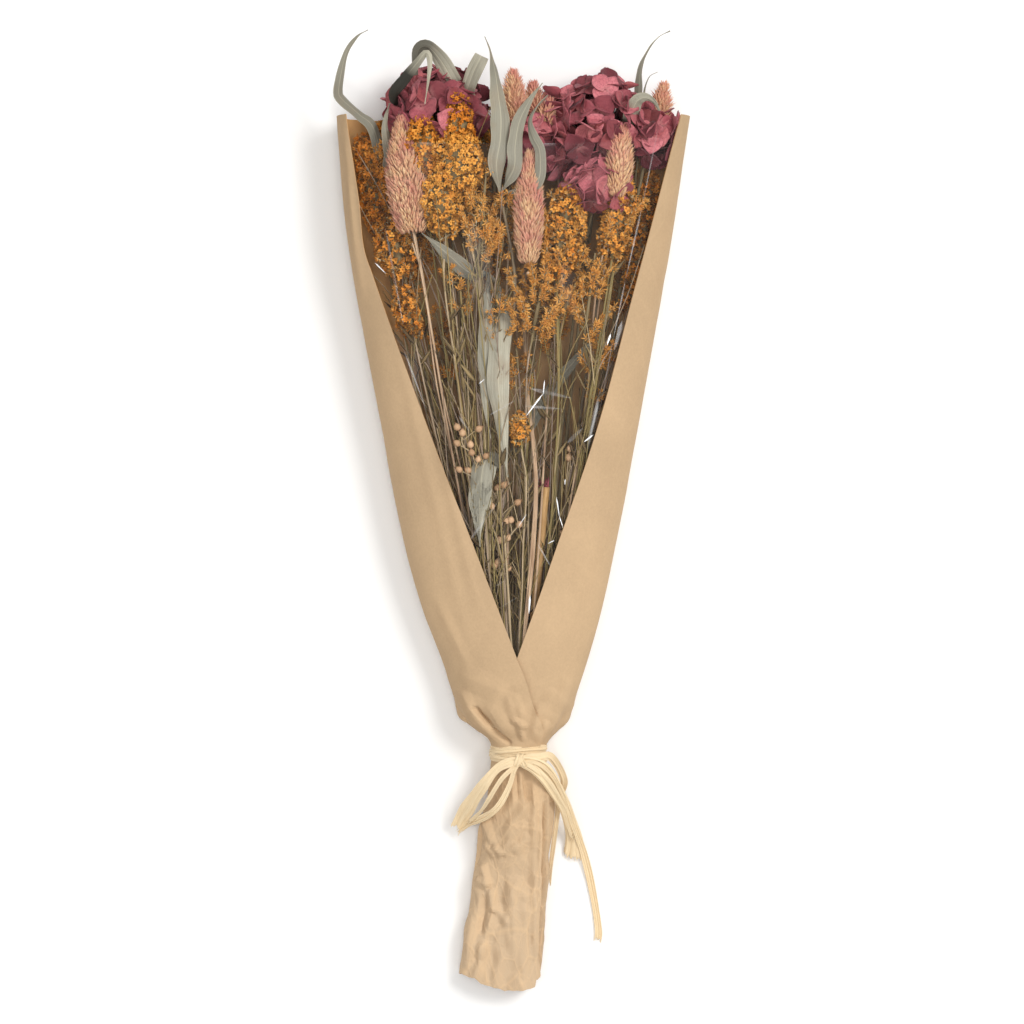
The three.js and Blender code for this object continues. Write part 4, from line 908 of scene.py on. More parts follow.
class BouquetSleeve(bpy.types.Operator):
    """Folds the kraft paper sleeve: a back and two flaps, gathered at the neck and creased"""
    bl_idname = "bouquet.sleeve"
    bl_label = "Paper sleeve"

    def execute(self, context):
        settings = context.scene.bouquet_wrap
        rows = np.interp(np.linspace(0, 1, PAPER_ROWS), *zip(*ROW_PLACES))
        left, right = flap_angles(rows)
        # The sheet runs from the right flap's edge round the back to the left one's.
        phi = right[:, None] + (left + 2 * math.pi - right)[:, None] * np.linspace(0, 1, PAPER_COLUMNS)
        table = wrap_points(rows[:, None] + 0 * phi, phi, -lift_at(phi))
        foot = np.clip((FOOT + CUT_REACH - rows) / CUT_REACH, 0, 1)[:, None]
        cut = np.interp(table[..., 0], *np.array(FOOT_EDGE, float).T) - FOOT + 0.5 * np.sin(9 * phi) ** 3
        table[..., 1] += foot * cut
        cx, half, _, top = section(rows)
        out = outward(table)
        middle = np.stack([cx, rows, 0.5 * top], -1)[:, None]
        out *= np.sign(np.sum(out * (table - middle), axis=-1, keepdims=True).mean())
        front = (phi > 1.5 * math.pi) | (phi < 0.5 * math.pi)
        across = np.where(front, table[..., 0], cx[:, None] + half[:, None] * (phi - 0.5 * math.pi + 1))
        height = crumpling(across, table[..., 1], np.random.default_rng(PAPER_SEED))
        free = 1 - bump(rows, NECK - 1, 7)[:, None]  # nothing stands out where the raffia lies
        spacing = np.linalg.norm(np.gradient(table, axis=1), axis=-1)
        # Each facet's slope across the sheet, which the finish turns into painted light and shade.
        tilt = -np.gradient(height, axis=1) / np.maximum(spacing, 0.2) * free
        table += out * (settings.crumple * height * free - 0.2)[..., None]
        table[..., 2] = np.maximum(table[..., 2], 0.05)
        piece = grid_sheet(placed(table), settings.paper_thickness, offset=-1, tilt=tilt)
        turn_outward(piece)
        # The inner face, which the finish paints lighter, with painted shade at the middle of the back.
        mark(piece.data, "inner", np.arange(len(piece.data.vertices)) < phi.size)
        piece.name = piece.data.name = "kraft_sleeve"
        bpy.ops.object.shade_smooth_by_angle(angle=math.radians(15))
        smooth_from = (SHARP_PAPER + SHIFT[1]) * MM
        piece.data.polygons.foreach_set("use_smooth", [p.center.y > smooth_from for p in piece.data.polygons])
        piece.data.materials.append(kraft_finish(settings))
        finish_piece(piece, "kraft_paper", "paper_sleeve")
        return {"FINISHED"}


class BouquetWindow(bpy.types.Operator):
    """Lays the clear film behind the two flaps, with its wrinkles"""
    bl_idname = "bouquet.window"
    bl_label = "Clear window"

    def execute(self, context):
        settings = context.scene.bouquet_wrap
        rng = np.random.default_rng(FILM_SEED)
        rows, s = np.linspace(*FILM_ENDS, 110), np.linspace(-1, 1, 70)
        left, right = flap_angles(rows)
        left, right = np.where(rows < VEE, -0.02, left), np.where(rows < VEE, 0.02, right)
        phi = left[:, None] - FILM_TUCK + (right - left + 2 * FILM_TUCK)[:, None] * (s + 1) / 2
        corner = np.clip((rows - CORNER_FROM) / (FILM_ENDS[1] - CORNER_FROM), 0, 1)[:, None]
        table = wrap_points(rows[:, None] + FILM_CORNER * np.abs(s) ** 3 * corner, phi, FILM_INSET)
        out = outward(table)
        out *= np.sign(out[..., 2:].mean())
        x, y = table[..., 0], table[..., 1]
        creases = []
        for _ in range(FILM_CREASES):
            i, j = rng.integers(len(rows)), rng.integers(len(s))
            creases.append((x[i, j], y[i, j], x[i, j] + rng.normal(0, 12), y[i, j] + rng.normal(0, 30),
                            rng.choice([-1, 1]) * rng.uniform(0.15, 0.5), rng.uniform(1.8, 6)))
        ripple = 0.12 * np.sin(x / 3.1 + 2 * np.sin(y / 13))
        table += out * np.clip(crease_heights(x, y, creases) + ripple, -0.45, 0.7)[..., None]
        film = grid_sheet(placed(table), settings.film_thickness)
        turn_outward(film)
        # Painted glints and soft painted reflections, as slivers laid just over the film.
        flakes = Bunch()
        sliver = take(blade(4, 3, [(0, 0), (0.4, SLIVER), (1, 0)], 0.3), kind=1.0, along=0.5)
        faint = Shape(sliver.points, sliver.loops, sliver.sizes, 0.4, 0.5)
        for shape, places in ((sliver, GLINTS), (faint, HAZES)):
            for x0, y0, x1, y1, wide in places:
                start, end = (np.array([x, y, float(ceiling(x, y, FILM_INSET)) + 0.3])
                              for x, y in ((x0, y0), (x1, y1)))
                run = end - start
                flakes.add(shape, np.stack([unit(np.cross(run, UP)), unit(run), UP], -1)[None], start[None],
                           np.array([[wide / SLIVER, np.linalg.norm(run), 1.0]]))
        piece = join_pieces([film, flakes.object("film_painted_reflections", None, press=False)], "clear_window")
        piece.data.materials.append(film_finish())
        finish_piece(piece, "clear_film", "film_window")
        return {"FINISHED"}


def strand(points, width, roll, seed, thick, end_width=None, steps=1.6, fold=0.3):
    """A strand of raffia: a thin flat strip, creased lengthwise, with uneven edges and a torn end."""
    rng = np.random.default_rng(seed)
    path = smooth_path(points, steps)
    f = np.linspace(0, 1, len(path))
    side, up = flat_sides(path, roll[0] + (roll[1] - roll[0]) * f)
    u = np.linspace(-1, 1, STRAND_COLUMNS)
    waves = 1 + 0.12 * np.sin(7 * f + seed) + 0.06 * np.sin(19 * f + 2 * seed)
    half = (width + ((end_width or width) - width) * f) / 2 * waves
    crease = np.interp(u, np.linspace(-1, 1, 7), rng.uniform(-1, 1, 7))
    height = half[:, None] * fold * crease[None] * (0.75 + 0.25 * np.sin(5 * f[:, None] + seed))
    torn = 1.4 * rng.normal(0, 1, STRAND_COLUMNS)[None] * np.clip((f - 0.97) / 0.03, 0, 1)[:, None]
    table = (path[:, None] + side[:, None] * (half[:, None] * u[None])[..., None]
             + up[:, None] * height[..., None] + tangents(path)[:, None] * torn[..., None])
    table[..., 2] = np.maximum(table[..., 2], 0.5)
    return grid_sheet(placed(table), thick)


def neck_turn(number, offset, tilt, width, out, rng, thick):
    """One turn of raffia round the neck."""
    phi = np.linspace(0, 2 * math.pi, TURN_STEPS)[:, None]
    u = np.linspace(-1, 1, STRAND_COLUMNS)
    clear = out + np.maximum(FLAP_LIFT * (1 - smooth_step(phi, *OVER_ANGLES)), lift_at(phi)) + 0 * u
    ring = wrap_points(NECK + 0 * phi + 0 * u, phi + 0 * u, -clear)
    spread = width / 2 * u[None] * (1 + 0.12 * np.sin(3 * phi + number))
    ring[..., 1] += offset + tilt * np.sin(phi + 0.5) + spread
    crease = np.interp(u, np.linspace(-1, 1, 6), rng.uniform(-0.3, 0.3, 6))
    away = unit((ring - np.array([float(section(NECK)[0]), 0, NECK_HEIGHT])) * [1, 0, 1])
    return grid_sheet(placed(ring + away * crease[None, :, None]), thick)


class BouquetTie(bpy.types.Operator):
    """Winds the raffia round the neck and ties its bow"""
    bl_idname = "bouquet.tie"
    bl_label = "Raffia tie"

    def execute(self, context):
        settings = context.scene.bouquet_wrap
        thick = settings.raffia_thickness
        rng = np.random.default_rng(TIE_SEED)
        turns = [neck_turn(i, *turn, rng, thick) for i, turn in enumerate(TURNS)]
        strands = [strand(points, width, roll, 3 + i, thick, end_width, fold=0.22)
                   for i, (width, end_width, roll, points) in enumerate(BOW)]
        kx, ky, kz = KNOT
        for i, (dx, lean, width) in enumerate(KNOT_LOOPS):
            loop = [(kx + dx + lean * math.cos(t), ky + 3.4 * math.cos(t), kz - 1.0 + 2.2 * math.sin(t))
                    for t in np.linspace(-0.4, math.pi + 0.4, 9)]
            strands.append(strand(loop, width, (0, 0.3), 40 + i, thick, steps=0.7))
        finish = raffia_finish(settings)
        for pieces, name, node in ((turns, "raffia_turns", "raffia_band"),
                                   (strands, "raffia_bow_strands", "raffia_bow")):
            piece = join_pieces(pieces, name, 20)
            piece.data.materials.append(finish)
            finish_piece(piece, "raffia", node)
        return {"FINISHED"}


# ---------------------------------------------------------------- small shapes that are copied
def blade(segments, rings, widths, thick):
    """A closed pointed blade along +Y, one unit long, as wide at each share of it as its widths say."""
    deselect()
    bpy.ops.mesh.primitive_uv_sphere_add(segments=segments, ring_count=rings, radius=0.5)
    piece = bpy.context.object
    for v in piece.data.vertices:
        f = v.co.z + 0.5
        turn = math.atan2(v.co.y, v.co.x)
        pole = 2 * math.hypot(v.co.x, v.co.y) <= 1e-4
        wide = 0 if pole else np.interp(f, *zip(*widths))
        v.co = Vector((wide * math.cos(turn) / 2, f, thick * wide * math.sin(turn) / 2 + 0.12 * f * f))
    turn_outward(piece)
    return piece


def along_y(points):
    return points[:, 1]


def star(points, notch, lift, eye):
    """An open floret of pointed petals round a sunken eye, with its underside drawn down to a stalk."""
    deselect()
    bpy.ops.mesh.primitive_cone_add(vertices=2 * points, radius1=0, radius2=1, depth=0.8,
                                    end_fill_type="NGON")
    piece = bpy.context.object
    bpy.ops.object.mode_set(mode="EDIT")
    pick(piece, lambda co: co.z > 0.3)
    bpy.ops.mesh.inset(thickness=0.7)
    bpy.ops.transform.translate(value=(0, 0, -0.12))
    bpy.ops.mesh.poke()
    pick(piece, lambda co: math.hypot(co.x, co.y) < 0.05 and co.z > 0)
    bpy.ops.transform.translate(value=(0, 0, -eye))

    def between(co):
        turn = math.atan2(co.y, co.x) / (math.pi / points)
        return math.hypot(co.x, co.y) > 0.8 and round(turn) % 2 == 1

    def stalk(p):
        return p[:, 2] < -0.3

    pick(piece, between)
    bpy.ops.transform.resize(value=(notch, notch, 1))
    pick(piece, lambda co: math.hypot(co.x, co.y) > 0.9)
    bpy.ops.transform.translate(value=(0, 0, lift))
    bpy.ops.object.mode_set(mode="OBJECT")
    return take(piece, kind=lambda p: np.where(stalk(p), 0.5, 1.0), smooth=False,
                along=lambda p: np.where(stalk(p), 0.3, np.clip(np.hypot(p[:, 0], p[:, 1]), 0, 1)))


def long_floret(petal, petals, lean, seed):
    """A floret of long pointed petals that stand out of a green cup."""
    rng = np.random.default_rng(seed)
    parts = []
    for i in range(petals):
        turn = 2 * math.pi * i / petals + rng.normal(0, 0.2)
        rise = lean + rng.normal(0, 0.2)
        y = np.array([math.cos(turn) * math.cos(rise), math.sin(turn) * math.cos(rise), math.sin(rise)])
        parts.append((petal, frame_of(unit(np.cross(y, UP)), y), (0, 0, 0), 1.25 * rng.uniform(0.8, 1.1)))
    whole = joined(parts)
    cup = joined([(petal, np.stack([[1.0, 0, 0], -UP, [0, 1.0, 0]], -1), (0, 0, 0.35), 1.0)])
    cup.kind = np.full(len(cup.points), 0.5)
    return joined([(whole, np.eye(3), (0, 0, 0), 1), (cup, np.eye(3), (0, 0, 0), 0.9)])


def sepal(cup, curl, fold, wave):
    """A broad, slightly pointed sepal along +Y, one unit long."""
    u = np.linspace(-1, 1, 7)[None]
    v = np.linspace(0, 1, 9)[:, None]
    half = 0.53 * np.sin(math.pi * (0.06 + 0.9 * v) ** 1.05) ** 0.6
    x = u * half
    y = v - 0.1 * u ** 2 * v
    z = cup * x ** 2 + curl * v ** 2 + fold * np.abs(u) * half + wave * np.sin(5 * u + 4 * v) * v
    return take(grid_sheet(np.stack([x, y, z], -1), 0.028), kind=1.0)


def boll_shape():
    """A round seed boll with a small pointed calyx on top."""
    deselect()
    bpy.ops.mesh.primitive_ico_sphere_add(subdivisions=2, radius=1)
    piece = bpy.context.object
    bpy.ops.object.mode_set(mode="EDIT")
    for test, move in ((lambda co: co.z > 0.93, 0.55), (lambda co: co.z < -0.93, -0.25)):
        pick(piece, test)
        bpy.ops.transform.translate(value=(0, 0, move))
    bpy.ops.object.mode_set(mode="OBJECT")
    for v in piece.data.vertices:
        ribs = (1 + 0.07 * math.cos(5 * math.atan2(v.co.y, v.co.x))) * (1 - 0.14 * v.co.z)
        v.co = Vector((v.co.x * ribs, v.co.y * ribs, v.co.z * 1.12))
    return take(piece, kind=1.0, along=lambda p: np.clip((p[:, 2] + 1) / 2.5, 0, 1))


# ---------------------------------------------------------------- stems
def node_points(node):
    """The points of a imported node, in millimetres."""
    return points_of(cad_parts[node].data) / MM


def table_shift():
    """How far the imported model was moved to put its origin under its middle."""
    points = node_points("thick_stalk")
    end = points[points[:, 1] > points[:, 1].max() - 0.01].mean(0)
    (x, y), _, _ = STALK
    return np.array([end[0] - x, end[1] - y, 0])


SHIFT = table_shift()


def stem_points(node, base, height=1.0):
    """The points that a packed stem runs through, from its foot to the base of its head. A height below 1
    lets its upper part lie deeper in the sleeve."""
    points = node_points(node) - SHIFT
    course = []
    for y in LEVELS:
        near = points[np.abs(points[:, 1] - y) < LEVEL_NEAR]
        if y < base[1] - LAST_STRETCH and len(near) >= 3:
            x, z = np.median(near[:, 0]), np.median(near[:, 2])
            low = float(section(y)[2]) + INNER
            course.append((x, y, low + (z - low) * (height if y > SINK_FROM else 1)))
    return [*course, tuple(base)]


def add_stem(bunch, course, radius, rng, sides=7, taper=0.8, wander=0.35, kind=0.0):
    """A dried stem along its course, a little uneven."""
    path = smooth_path(course, 5)
    f = np.linspace(0, 1, len(path))
    held = np.sin(math.pi * np.clip(f * 1.1, 0, 1))
    for axis in (0, 2):
        a, b = rng.uniform(0, 6.3, 2)
        path[:, axis] += wander * (np.sin(9 * f + a) + 0.5 * np.sin(23 * f + b)) * held
    thick = radius * (1 + (taper - 1) * f) * (1 + 0.06 * np.sin(31 * f + rng.uniform(0, 6)))
    bunch.add(tube(path, thick, sides, kind), shade=rng.uniform(0, 1), rise=0.0)
    return path


def companion(course, rng, spread, room=2.6):
    """A second stem that runs beside the first and parts from it towards the top."""
    side = rng.normal(0, 1, 2)
    moved = []
    for k, (x, y, z) in enumerate(course[:-1]):
        share = spread * (0.35 + 0.65 * k / len(course)) * (0.3 if abs(y - NECK) < 40 else 1)
        p = np.array([x + share * side[0] + rng.normal(0, 0.3 * spread) * (y > -90), y, z + share * side[1]])
        cx, half, base, top = section(p[1])
        middle = (base + top) / 2
        far = math.hypot((p[0] - cx) / (half - room), (p[2] - middle) / ((top - base) / 2 - room))
        if far > 1:
            p[0], p[2] = cx + (p[0] - cx) / far, middle + (p[2] - middle) / far
        moved.append(tuple(p))
    return [*moved, tuple(np.array(course[-1]) + [0.5 * side[0], rng.uniform(-8, 0), 0.5 * side[1]])]


# ---------------------------------------------------------------- heads
def head_frame(base, tip):
    """A head's axis, its sideways and upward directions, and its length."""
    axis = unit(tip - base)
    side = unit(np.cross(axis, UP))
    return axis, side, np.cross(side, axis), np.linalg.norm(tip - base)


def canary_spike(bunch, rng, base, tip, width, scale, shape):
    """A dense spike of overlapping pointed scales over a solid core."""
    axis, side, up, reach = head_frame(base, tip)
    loose = width < LOOSE_SPIKE

    def radius(f):
        return 0.58 * width * np.maximum(0.16, np.sin(math.pi * (0.12 + 0.86 * f) ** 0.86) ** 0.68)

    count = int(reach * width * (1.2 if loose else 2.1))
    f = (np.arange(count) + rng.uniform(0, 1, count)) / count
    theta = np.arange(count) * GOLDEN + rng.normal(0, 0.15, count)
    radial = np.cos(theta)[:, None] * side + np.sin(theta)[:, None] * up
    size = scale * rng.uniform(0.75, 1.25, count) * (0.75 + 0.25 * np.sin(math.pi * f))
    lean = np.radians(rng.normal(36 if loose else 25, 8, count)) * (1 - 0.55 * f ** 4)
    level = base + axis * ((f * 1.02 - 0.04) * reach)[:, None]
    where = level + radial * (radius(f) * rng.uniform(0.66, 0.84, count))[:, None]
    sideways = np.cross(axis, radial) * rng.normal(0, 0.16, count)[:, None]
    along = unit(axis * np.cos(lean)[:, None] + radial * np.sin(lean)[:, None] + sideways)
    bunch.add(shape, frame_of(unit(np.cross(along, radial)), along), where - along * (0.3 * size)[:, None],
              np.stack([size * 0.9, size, size * 0.9], -1), rng.uniform(0, 1, count), f)
    core = smooth_path([base - axis, base + 0.3 * (tip - base), base + 0.7 * (tip - base), tip], 2)
    bunch.add(tube(core, radius(np.linspace(0, 1, len(core))) * 0.78, 10, 0.8), rise=0.4, shade=0.1)
    for i in range(5):
        turn = i * 1.3
        out = side * math.cos(turn) + up * math.sin(turn)
        end = base + out * width * 0.24 - axis * rng.uniform(1, 4)
        hair = [base - 0.5 * axis, base + out * width * 0.16 - axis * 1.5, end]
        bunch.rod(hair, 1, 0.18, 4, 0.6, rng.uniform(0, 1), 0.1)


class Plume:
    """A plume of goldenrod. Small clusters of florets stand on side twigs, and a loose plume has curved
    branches instead, with long-petalled florets in rows along them."""

    def __init__(self, bunch, rng, base, tip, width, phase, loose, tone, florets, size):
        self.bunch, self.rng, self.base, self.width, self.phase = bunch, rng, base, width, phase
        self.loose, self.tone, self.size = loose, tone, size
        self.axis, self.side, self.up, self.reach = head_frame(base, tip)
        self.stars, self.longs = florets
        self.lobes = 3 + round(self.reach / 22)
        self.lit = min(1.0, 0.4 + 0.8 * base[2] / 50)  # painted shade: plumes that lie deep are darker
        self.knob = 4.4 - 1.0 * loose  # radius of a cluster
        clusters = max(10, int(0.8 * self.reach * width / (self.knob * 4.1))) if loose < 0.9 else 0
        for i in range(clusters):
            self.cluster((i + 0.5) / clusters, i * GOLDEN + phase)
        for i in range(int(loose * self.reach * width / 42)):
            self.branch(rng.uniform(0.02, 1) ** 0.9, i * GOLDEN + phase)
        core = smooth_path([base, base + 0.4 * (tip - base), tip], 3)
        swell = np.sin(math.pi * (0.08 + 0.84 * np.linspace(0, 1, len(core))))
        thick = np.maximum(0.5, 0.3 * width * (1 - loose * 0.88) * swell)
        bunch.add(tube(core, thick, 8, 0.4), shade=0.1, rise=0.0)

    def radius(self, f, theta):
        envelope = np.maximum(0.25, np.sin(math.pi * (0.08 + 0.84 * f)) ** 0.6)
        lobed = 0.86 + 0.14 * np.sin(2 * theta + self.lobes * 2 * f + self.phase)
        return 0.54 * self.width * envelope * lobed

    def scatter(self, group, ways, spots, rise, scale, tone):
        """Adds a floret of a group at each spot."""
        rng = self.rng
        picks = rng.integers(0, len(group), len(spots))
        for k, shape in enumerate(group):
            m = picks == k
            n = m.sum()
            turns = axes(ways[m], rng.uniform(0, 6.3, n))
            sizes = self.size * scale * rng.uniform(0.72, 1.12, n)
            shades = np.clip(tone + rng.normal(0, 0.22, n), 0, 1)
            self.bunch.add(shape, turns, spots[m], sizes, shades, rise[m])

    def cluster(self, f, theta):
        rng, axis, knob = self.rng, self.axis, self.knob
        far = max(0.5, float(self.radius(f, theta)) - 0.75 * knob) * rng.uniform(0.6, 1.08)
        out = self.side * np.cos(theta) + self.up * (0.78 * np.sin(theta))
        centre = self.base + axis * (f * self.reach) + out * far
        twig = [self.base + axis * (f * self.reach - 0.9 * far - 2),
                self.base + axis * (f * self.reach - 0.35 * far) + out * far * 0.45, centre]
        self.bunch.rod(twig, 3, TWIG, 4, 0.25, rng.uniform(0, 1), f)
        facing = unit(out * 1.1 + axis * 0.55)
        n = int(rng.integers(*((24, 29) if self.loose < 0.4 else (11, 15))))
        rise = 1 - 1.2 * (np.arange(n) + 0.5) / n
        turn = np.arange(n) * GOLDEN + rng.uniform(0, 6.3)
        level = np.sqrt(np.maximum(0, 1 - rise ** 2))
        local = np.stack([level * np.cos(turn), level * np.sin(turn), rise], -1)
        ways = unit(local @ axes(facing[None], np.zeros(1))[0].T + rng.normal(0, 0.2, (n, 3)))
        spots = centre + ways * (knob * rng.uniform(0.75, 1.05, n))[:, None]
        ragged = rng.uniform(0, 1, n) < self.loose * 0.6
        # Painted shade: florets low on their cluster and in plumes that lie deep get a low rise, which the
        # finish darkens.
        bright = np.clip(0.05 + rise * 1.25, 0, 1) * self.lit
        for group, m, scale in ((self.stars, ~ragged, 0.86), (self.longs, ragged, 0.9)):
            self.scatter(group, ways[m], spots[m], bright[m], scale, self.tone)

    def branch(self, f, theta):
        rng, axis = self.rng, self.axis
        out = self.side * math.cos(theta) + self.up * 0.7 * math.sin(theta)
        far = float(self.radius(f, theta)) * rng.uniform(0.7, 1.3)
        start = self.base + axis * (f * self.reach - 0.5 * far)
        ends = [start, start + out * 0.6 * far + axis * 0.25 * far, start + out * far + axis * 0.85 * far]
        path = smooth_path(ends, 1.5)
        self.bunch.add(tube(path, TWIG, 4, 0.25), shade=rng.uniform(0.4, 1), rise=f)
        bare = len(path) // 4
        spots, ways = (np.repeat(v[bare:], 2, axis=0) for v in (path, tangents(path)))
        ways = unit(ways * 0.8 + out * 0.3 + rng.normal(0, 0.6, spots.shape))
        spots = spots + ways * rng.uniform(0.1, 1.5, (len(spots), 1))
        # Painted light: florets on the plume's upper side get a higher rise and are painted lighter, and deep
        # plumes darker.
        lit_from_above = 0.5 + 0.3 * self.up[2] * math.sin(theta) + rng.uniform(0, 0.4, len(spots))
        self.scatter(self.longs, ways, spots, np.clip(lit_from_above, 0, 1) * self.lit, 1.25, self.tone + 0.15)


def side_foliage(bunch, rng, path, leaf, count, top):
    """Small dried leaves and thin twigs along a stem."""
    picks = [i for i in range(3, len(path) - 3) if FOLIAGE_FROM < path[i][1] < top]
    if not picks:
        return

    def branching(number):
        """Places on the stem, its direction there and one that leads away from it."""
        for i in rng.choice(picks, min(number, len(picks)), replace=False):
            t = unit(path[i + 1] - path[i - 1])
            yield path[i], t, unit(np.cross(t, rng.normal(0, 1, 3)))

    for p, t, out in branching(count):
        y = unit(t * rng.uniform(0.9, 1.6) + out)
        x = unit(np.cross(y, rng.normal(0, 1, 3)))
        long = rng.uniform(7, 17)
        bunch.put(leaf, x, y, p, [long * rng.uniform(0.5, 1.1), long, long * 0.8], rng.uniform(0, 1), 0.1)
    for p, t, out in branching(4):
        run = rng.uniform(14, 60)
        twig = [p, p + t * run * 0.5 + out * run * 0.14, p + t * run + out * run * rng.uniform(0.2, 0.5)]
        bunch.rod(twig, 4, (0.26, 0.18), 4, shade=rng.uniform(0.3, 1))


def hydrangea_floret(bunch, rng, spot, facing, tone, sepals, size):
    """Four sepals round a small eye."""
    for q in range(4):
        a = q * math.pi / 2 + rng.normal(0, 0.12)
        lift = rng.uniform(-0.1, 0.4) if rng.uniform() < 0.85 else rng.uniform(0.5, 1.1)
        y = facing @ np.array([math.cos(a) * math.cos(lift), math.sin(a) * math.cos(lift), math.sin(lift)])
        x = unit(np.cross(y, facing[:, 2] + rng.normal(0, 0.18, 3)))
        big = size * rng.uniform(0.82, 1.14)
        shape = sepals[int(rng.integers(len(sepals)))]
        place = spot + np.cross(x, y) * 0.25 * (q % 2)
        bunch.put(shape, x, y, place, [big * rng.uniform(0.9, 1.12), big, big],
                  np.clip(tone + rng.normal(0, 0.15), 0, 1), rng.uniform(0, 1))
    eye = np.stack([spot - facing[:, 2] * 0.6, spot + facing[:, 2] * 0.5])
    bunch.add(tube(eye, 0.6, 6, 0.6), shade=tone, rise=0.5)


def hydrangea_head(bunch, rng, centre, head, florets, pale, sepals, size):
    """A ball of four-sepalled florets on thin stalks."""
    for i in range(florets):
        rise = 1 - 1.72 * (i + 0.5) / florets
        level = math.sqrt(max(0, 1 - rise * rise))
        turn = i * GOLDEN
        even = np.array([level * math.cos(turn), rise, level * math.sin(turn) * 0.95])
        out = unit(even + rng.normal(0, 0.1, 3))
        spot = centre + out * head * rng.uniform(0.74, 0.98) * [1.08, 0.96, 0.94]
        root = centre + [0, -0.35 * head, 0] + out * head * 0.12
        stalk = [root, (root + spot) / 2 + rng.normal(0, 1, 3), spot]
        bunch.rod(stalk, 3, 0.32, 4, 0.25, rng.uniform(0, 1), 0.2)
        facing = axes((out + rng.normal(0, 0.22, 3))[None], rng.uniform(0, 6.3, 1))[0]
        hydrangea_floret(bunch, rng, spot, facing, np.clip(pale + rng.normal(0, 0.36), 0, 1), sepals, size)


def long_leaf(base, width, end, roll, points, seed):
    """A narrow dried leaf along a path, folded along its rib, with waved edges and a pointed or cut tip, and
    each point's place across it."""
    path = smooth_path([tuple(base), *points], 1.4)
    f = np.linspace(0, 1, len(path))
    side, up = flat_sides(path, roll[0] + (roll[1] - roll[0]) * f + 0.22 * np.sin(6 * f + seed))
    taper = end + (1 - end) * smooth_step(1 - f, 0, 0.52) ** 0.7
    half = np.maximum(width / 2 * (0.12 + 0.88 * smooth_step(f, 0, 0.26)) * taper, 0.02 * width)
    half *= 1 + 0.05 * np.sin(23 * f + seed)
    u = np.linspace(-1, 1, 13)[None]
    wave = 0.08 * width * np.sin(f * 9 + width)[:, None] * u * np.abs(u)
    ripple = 0.04 * width * np.sin(f * 37 + seed)[:, None] * u ** 3
    arch = 0.13 * width * (1 - np.abs(u)) + 0.02 * width * np.abs(np.sin(u * 6.3))
    height = arch * np.minimum(1, half / width * 3)[:, None] + (wave + ripple)
    table = path[:, None] + side[:, None] * (half[:, None] * u)[..., None] + up[:, None] * height[..., None]
    piece = grid_sheet(table, 0.32)
    across = marks_of(piece.data, "across")
    return take(piece, kind=1.0, smooth=False), across


def flax_twigs(base, spots):
    """Each boll's twig forks off the twig of the nearest boll before it."""
    twigs = []
    for to in sorted(spots, key=lambda p: np.linalg.norm(p - base)):
        parent = min(twigs, key=lambda t: np.linalg.norm(t[1] - to)) if twigs else None
        twigs.append((parent[0] + 0.5 * (parent[1] - parent[0]) if parent else base, to))
    return twigs


def grow_pieces(table, grow, pieces, nodes, slot, finish, seed):
    """Makes a piece for each row of a table, out of the bunch that its flower is grown into, and lets it take
    the place of its node. Pieces and nodes are named for the row, after what all of them begin with."""
    for i, (name, row) in enumerate(table.items()):
        bunch, rng = Bunch(), np.random.default_rng(seed + i)
        grow(bunch, rng, nodes + name, i, name, *row)
        finish_piece(bunch.object(pieces + name, finish), slot, nodes + name)


class BouquetStalk(bpy.types.Operator):
    """Adds the thick bare stalk"""
    bl_idname = "bouquet.stalk"
    bl_label = "Thick stalk"

    def execute(self, context):
        bract = take(blade(6, 5, [(0, 0.1), (0.3, 0.5), (0.7, 0.4), (1, 0)], 0.5), kind=1.0, along=along_y)

        def grow(bunch, rng, node, i, name, top, depth, radius):
            base = inside(*top, depth, radius)
            add_stem(bunch, stem_points(node, base), radius, rng, sides=14, taper=0.92, wander=0.15)
            for _ in range(12):
                y = unit(np.array([rng.normal(0, 0.9), 1.0, rng.normal(0, 0.6)]))
                spot = base + [rng.normal(0, 1.0), -1.0, rng.normal(0, 0.8)]
                size = [2.2, rng.uniform(3, 7.5), 2.2]
                bunch.put(bract, unit(np.cross(y, UP)), y, spot, size, rng.uniform(), 1.0)

        grow_pieces({"stalk": STALK}, grow, "bare_", "thick_", "tan_stalk", stalk_finish(), STALK_SEED)
        return {"FINISHED"}


class BouquetCanaryGrass(bpy.types.Operator):
    """Adds the seven seed spikes of canary grass"""
    bl_idname = "bouquet.canary_grass"
    bl_label = "Canary grass"

    def execute(self, context):
        settings = context.scene.bouquet_flowers
        scale = take(blade(5, 4, [(0, 0), (0.3, 0.36), (0.55, 0.3), (0.8, 0.12), (1, 0)], 0.42), kind=1.0,
                     along=along_y)

        def grow(bunch, rng, node, i, name, base, tip, width, depth):
            foot, end = inside(*base, depth, width / 2), inside(*tip, depth, width / 2)
            course = [(x + SIDEWAYS.get(name, 0) * bump(y, 8, 62), y, z)
                      for x, y, z in stem_points(node, foot, SUNK.get(name, 1.0))]
            add_stem(bunch, course, STEM_RADII["canary_grass"], rng, kind=0.1)
            more, radius, spread = COMPANIONS.get(name, (0, 0, 0))
            for _ in range(more):
                add_stem(bunch, companion(course, rng, spread), radius, rng, kind=0.1)
            canary_spike(bunch, rng, foot, end, width, settings.scale / MM, scale)

        grow_pieces(SPIKES, grow, "canary_", "canary_grass_", "canary_grass", canary_finish(settings),
                    settings.seed + SEED_STEPS["canary_grass"])
        return {"FINISHED"}


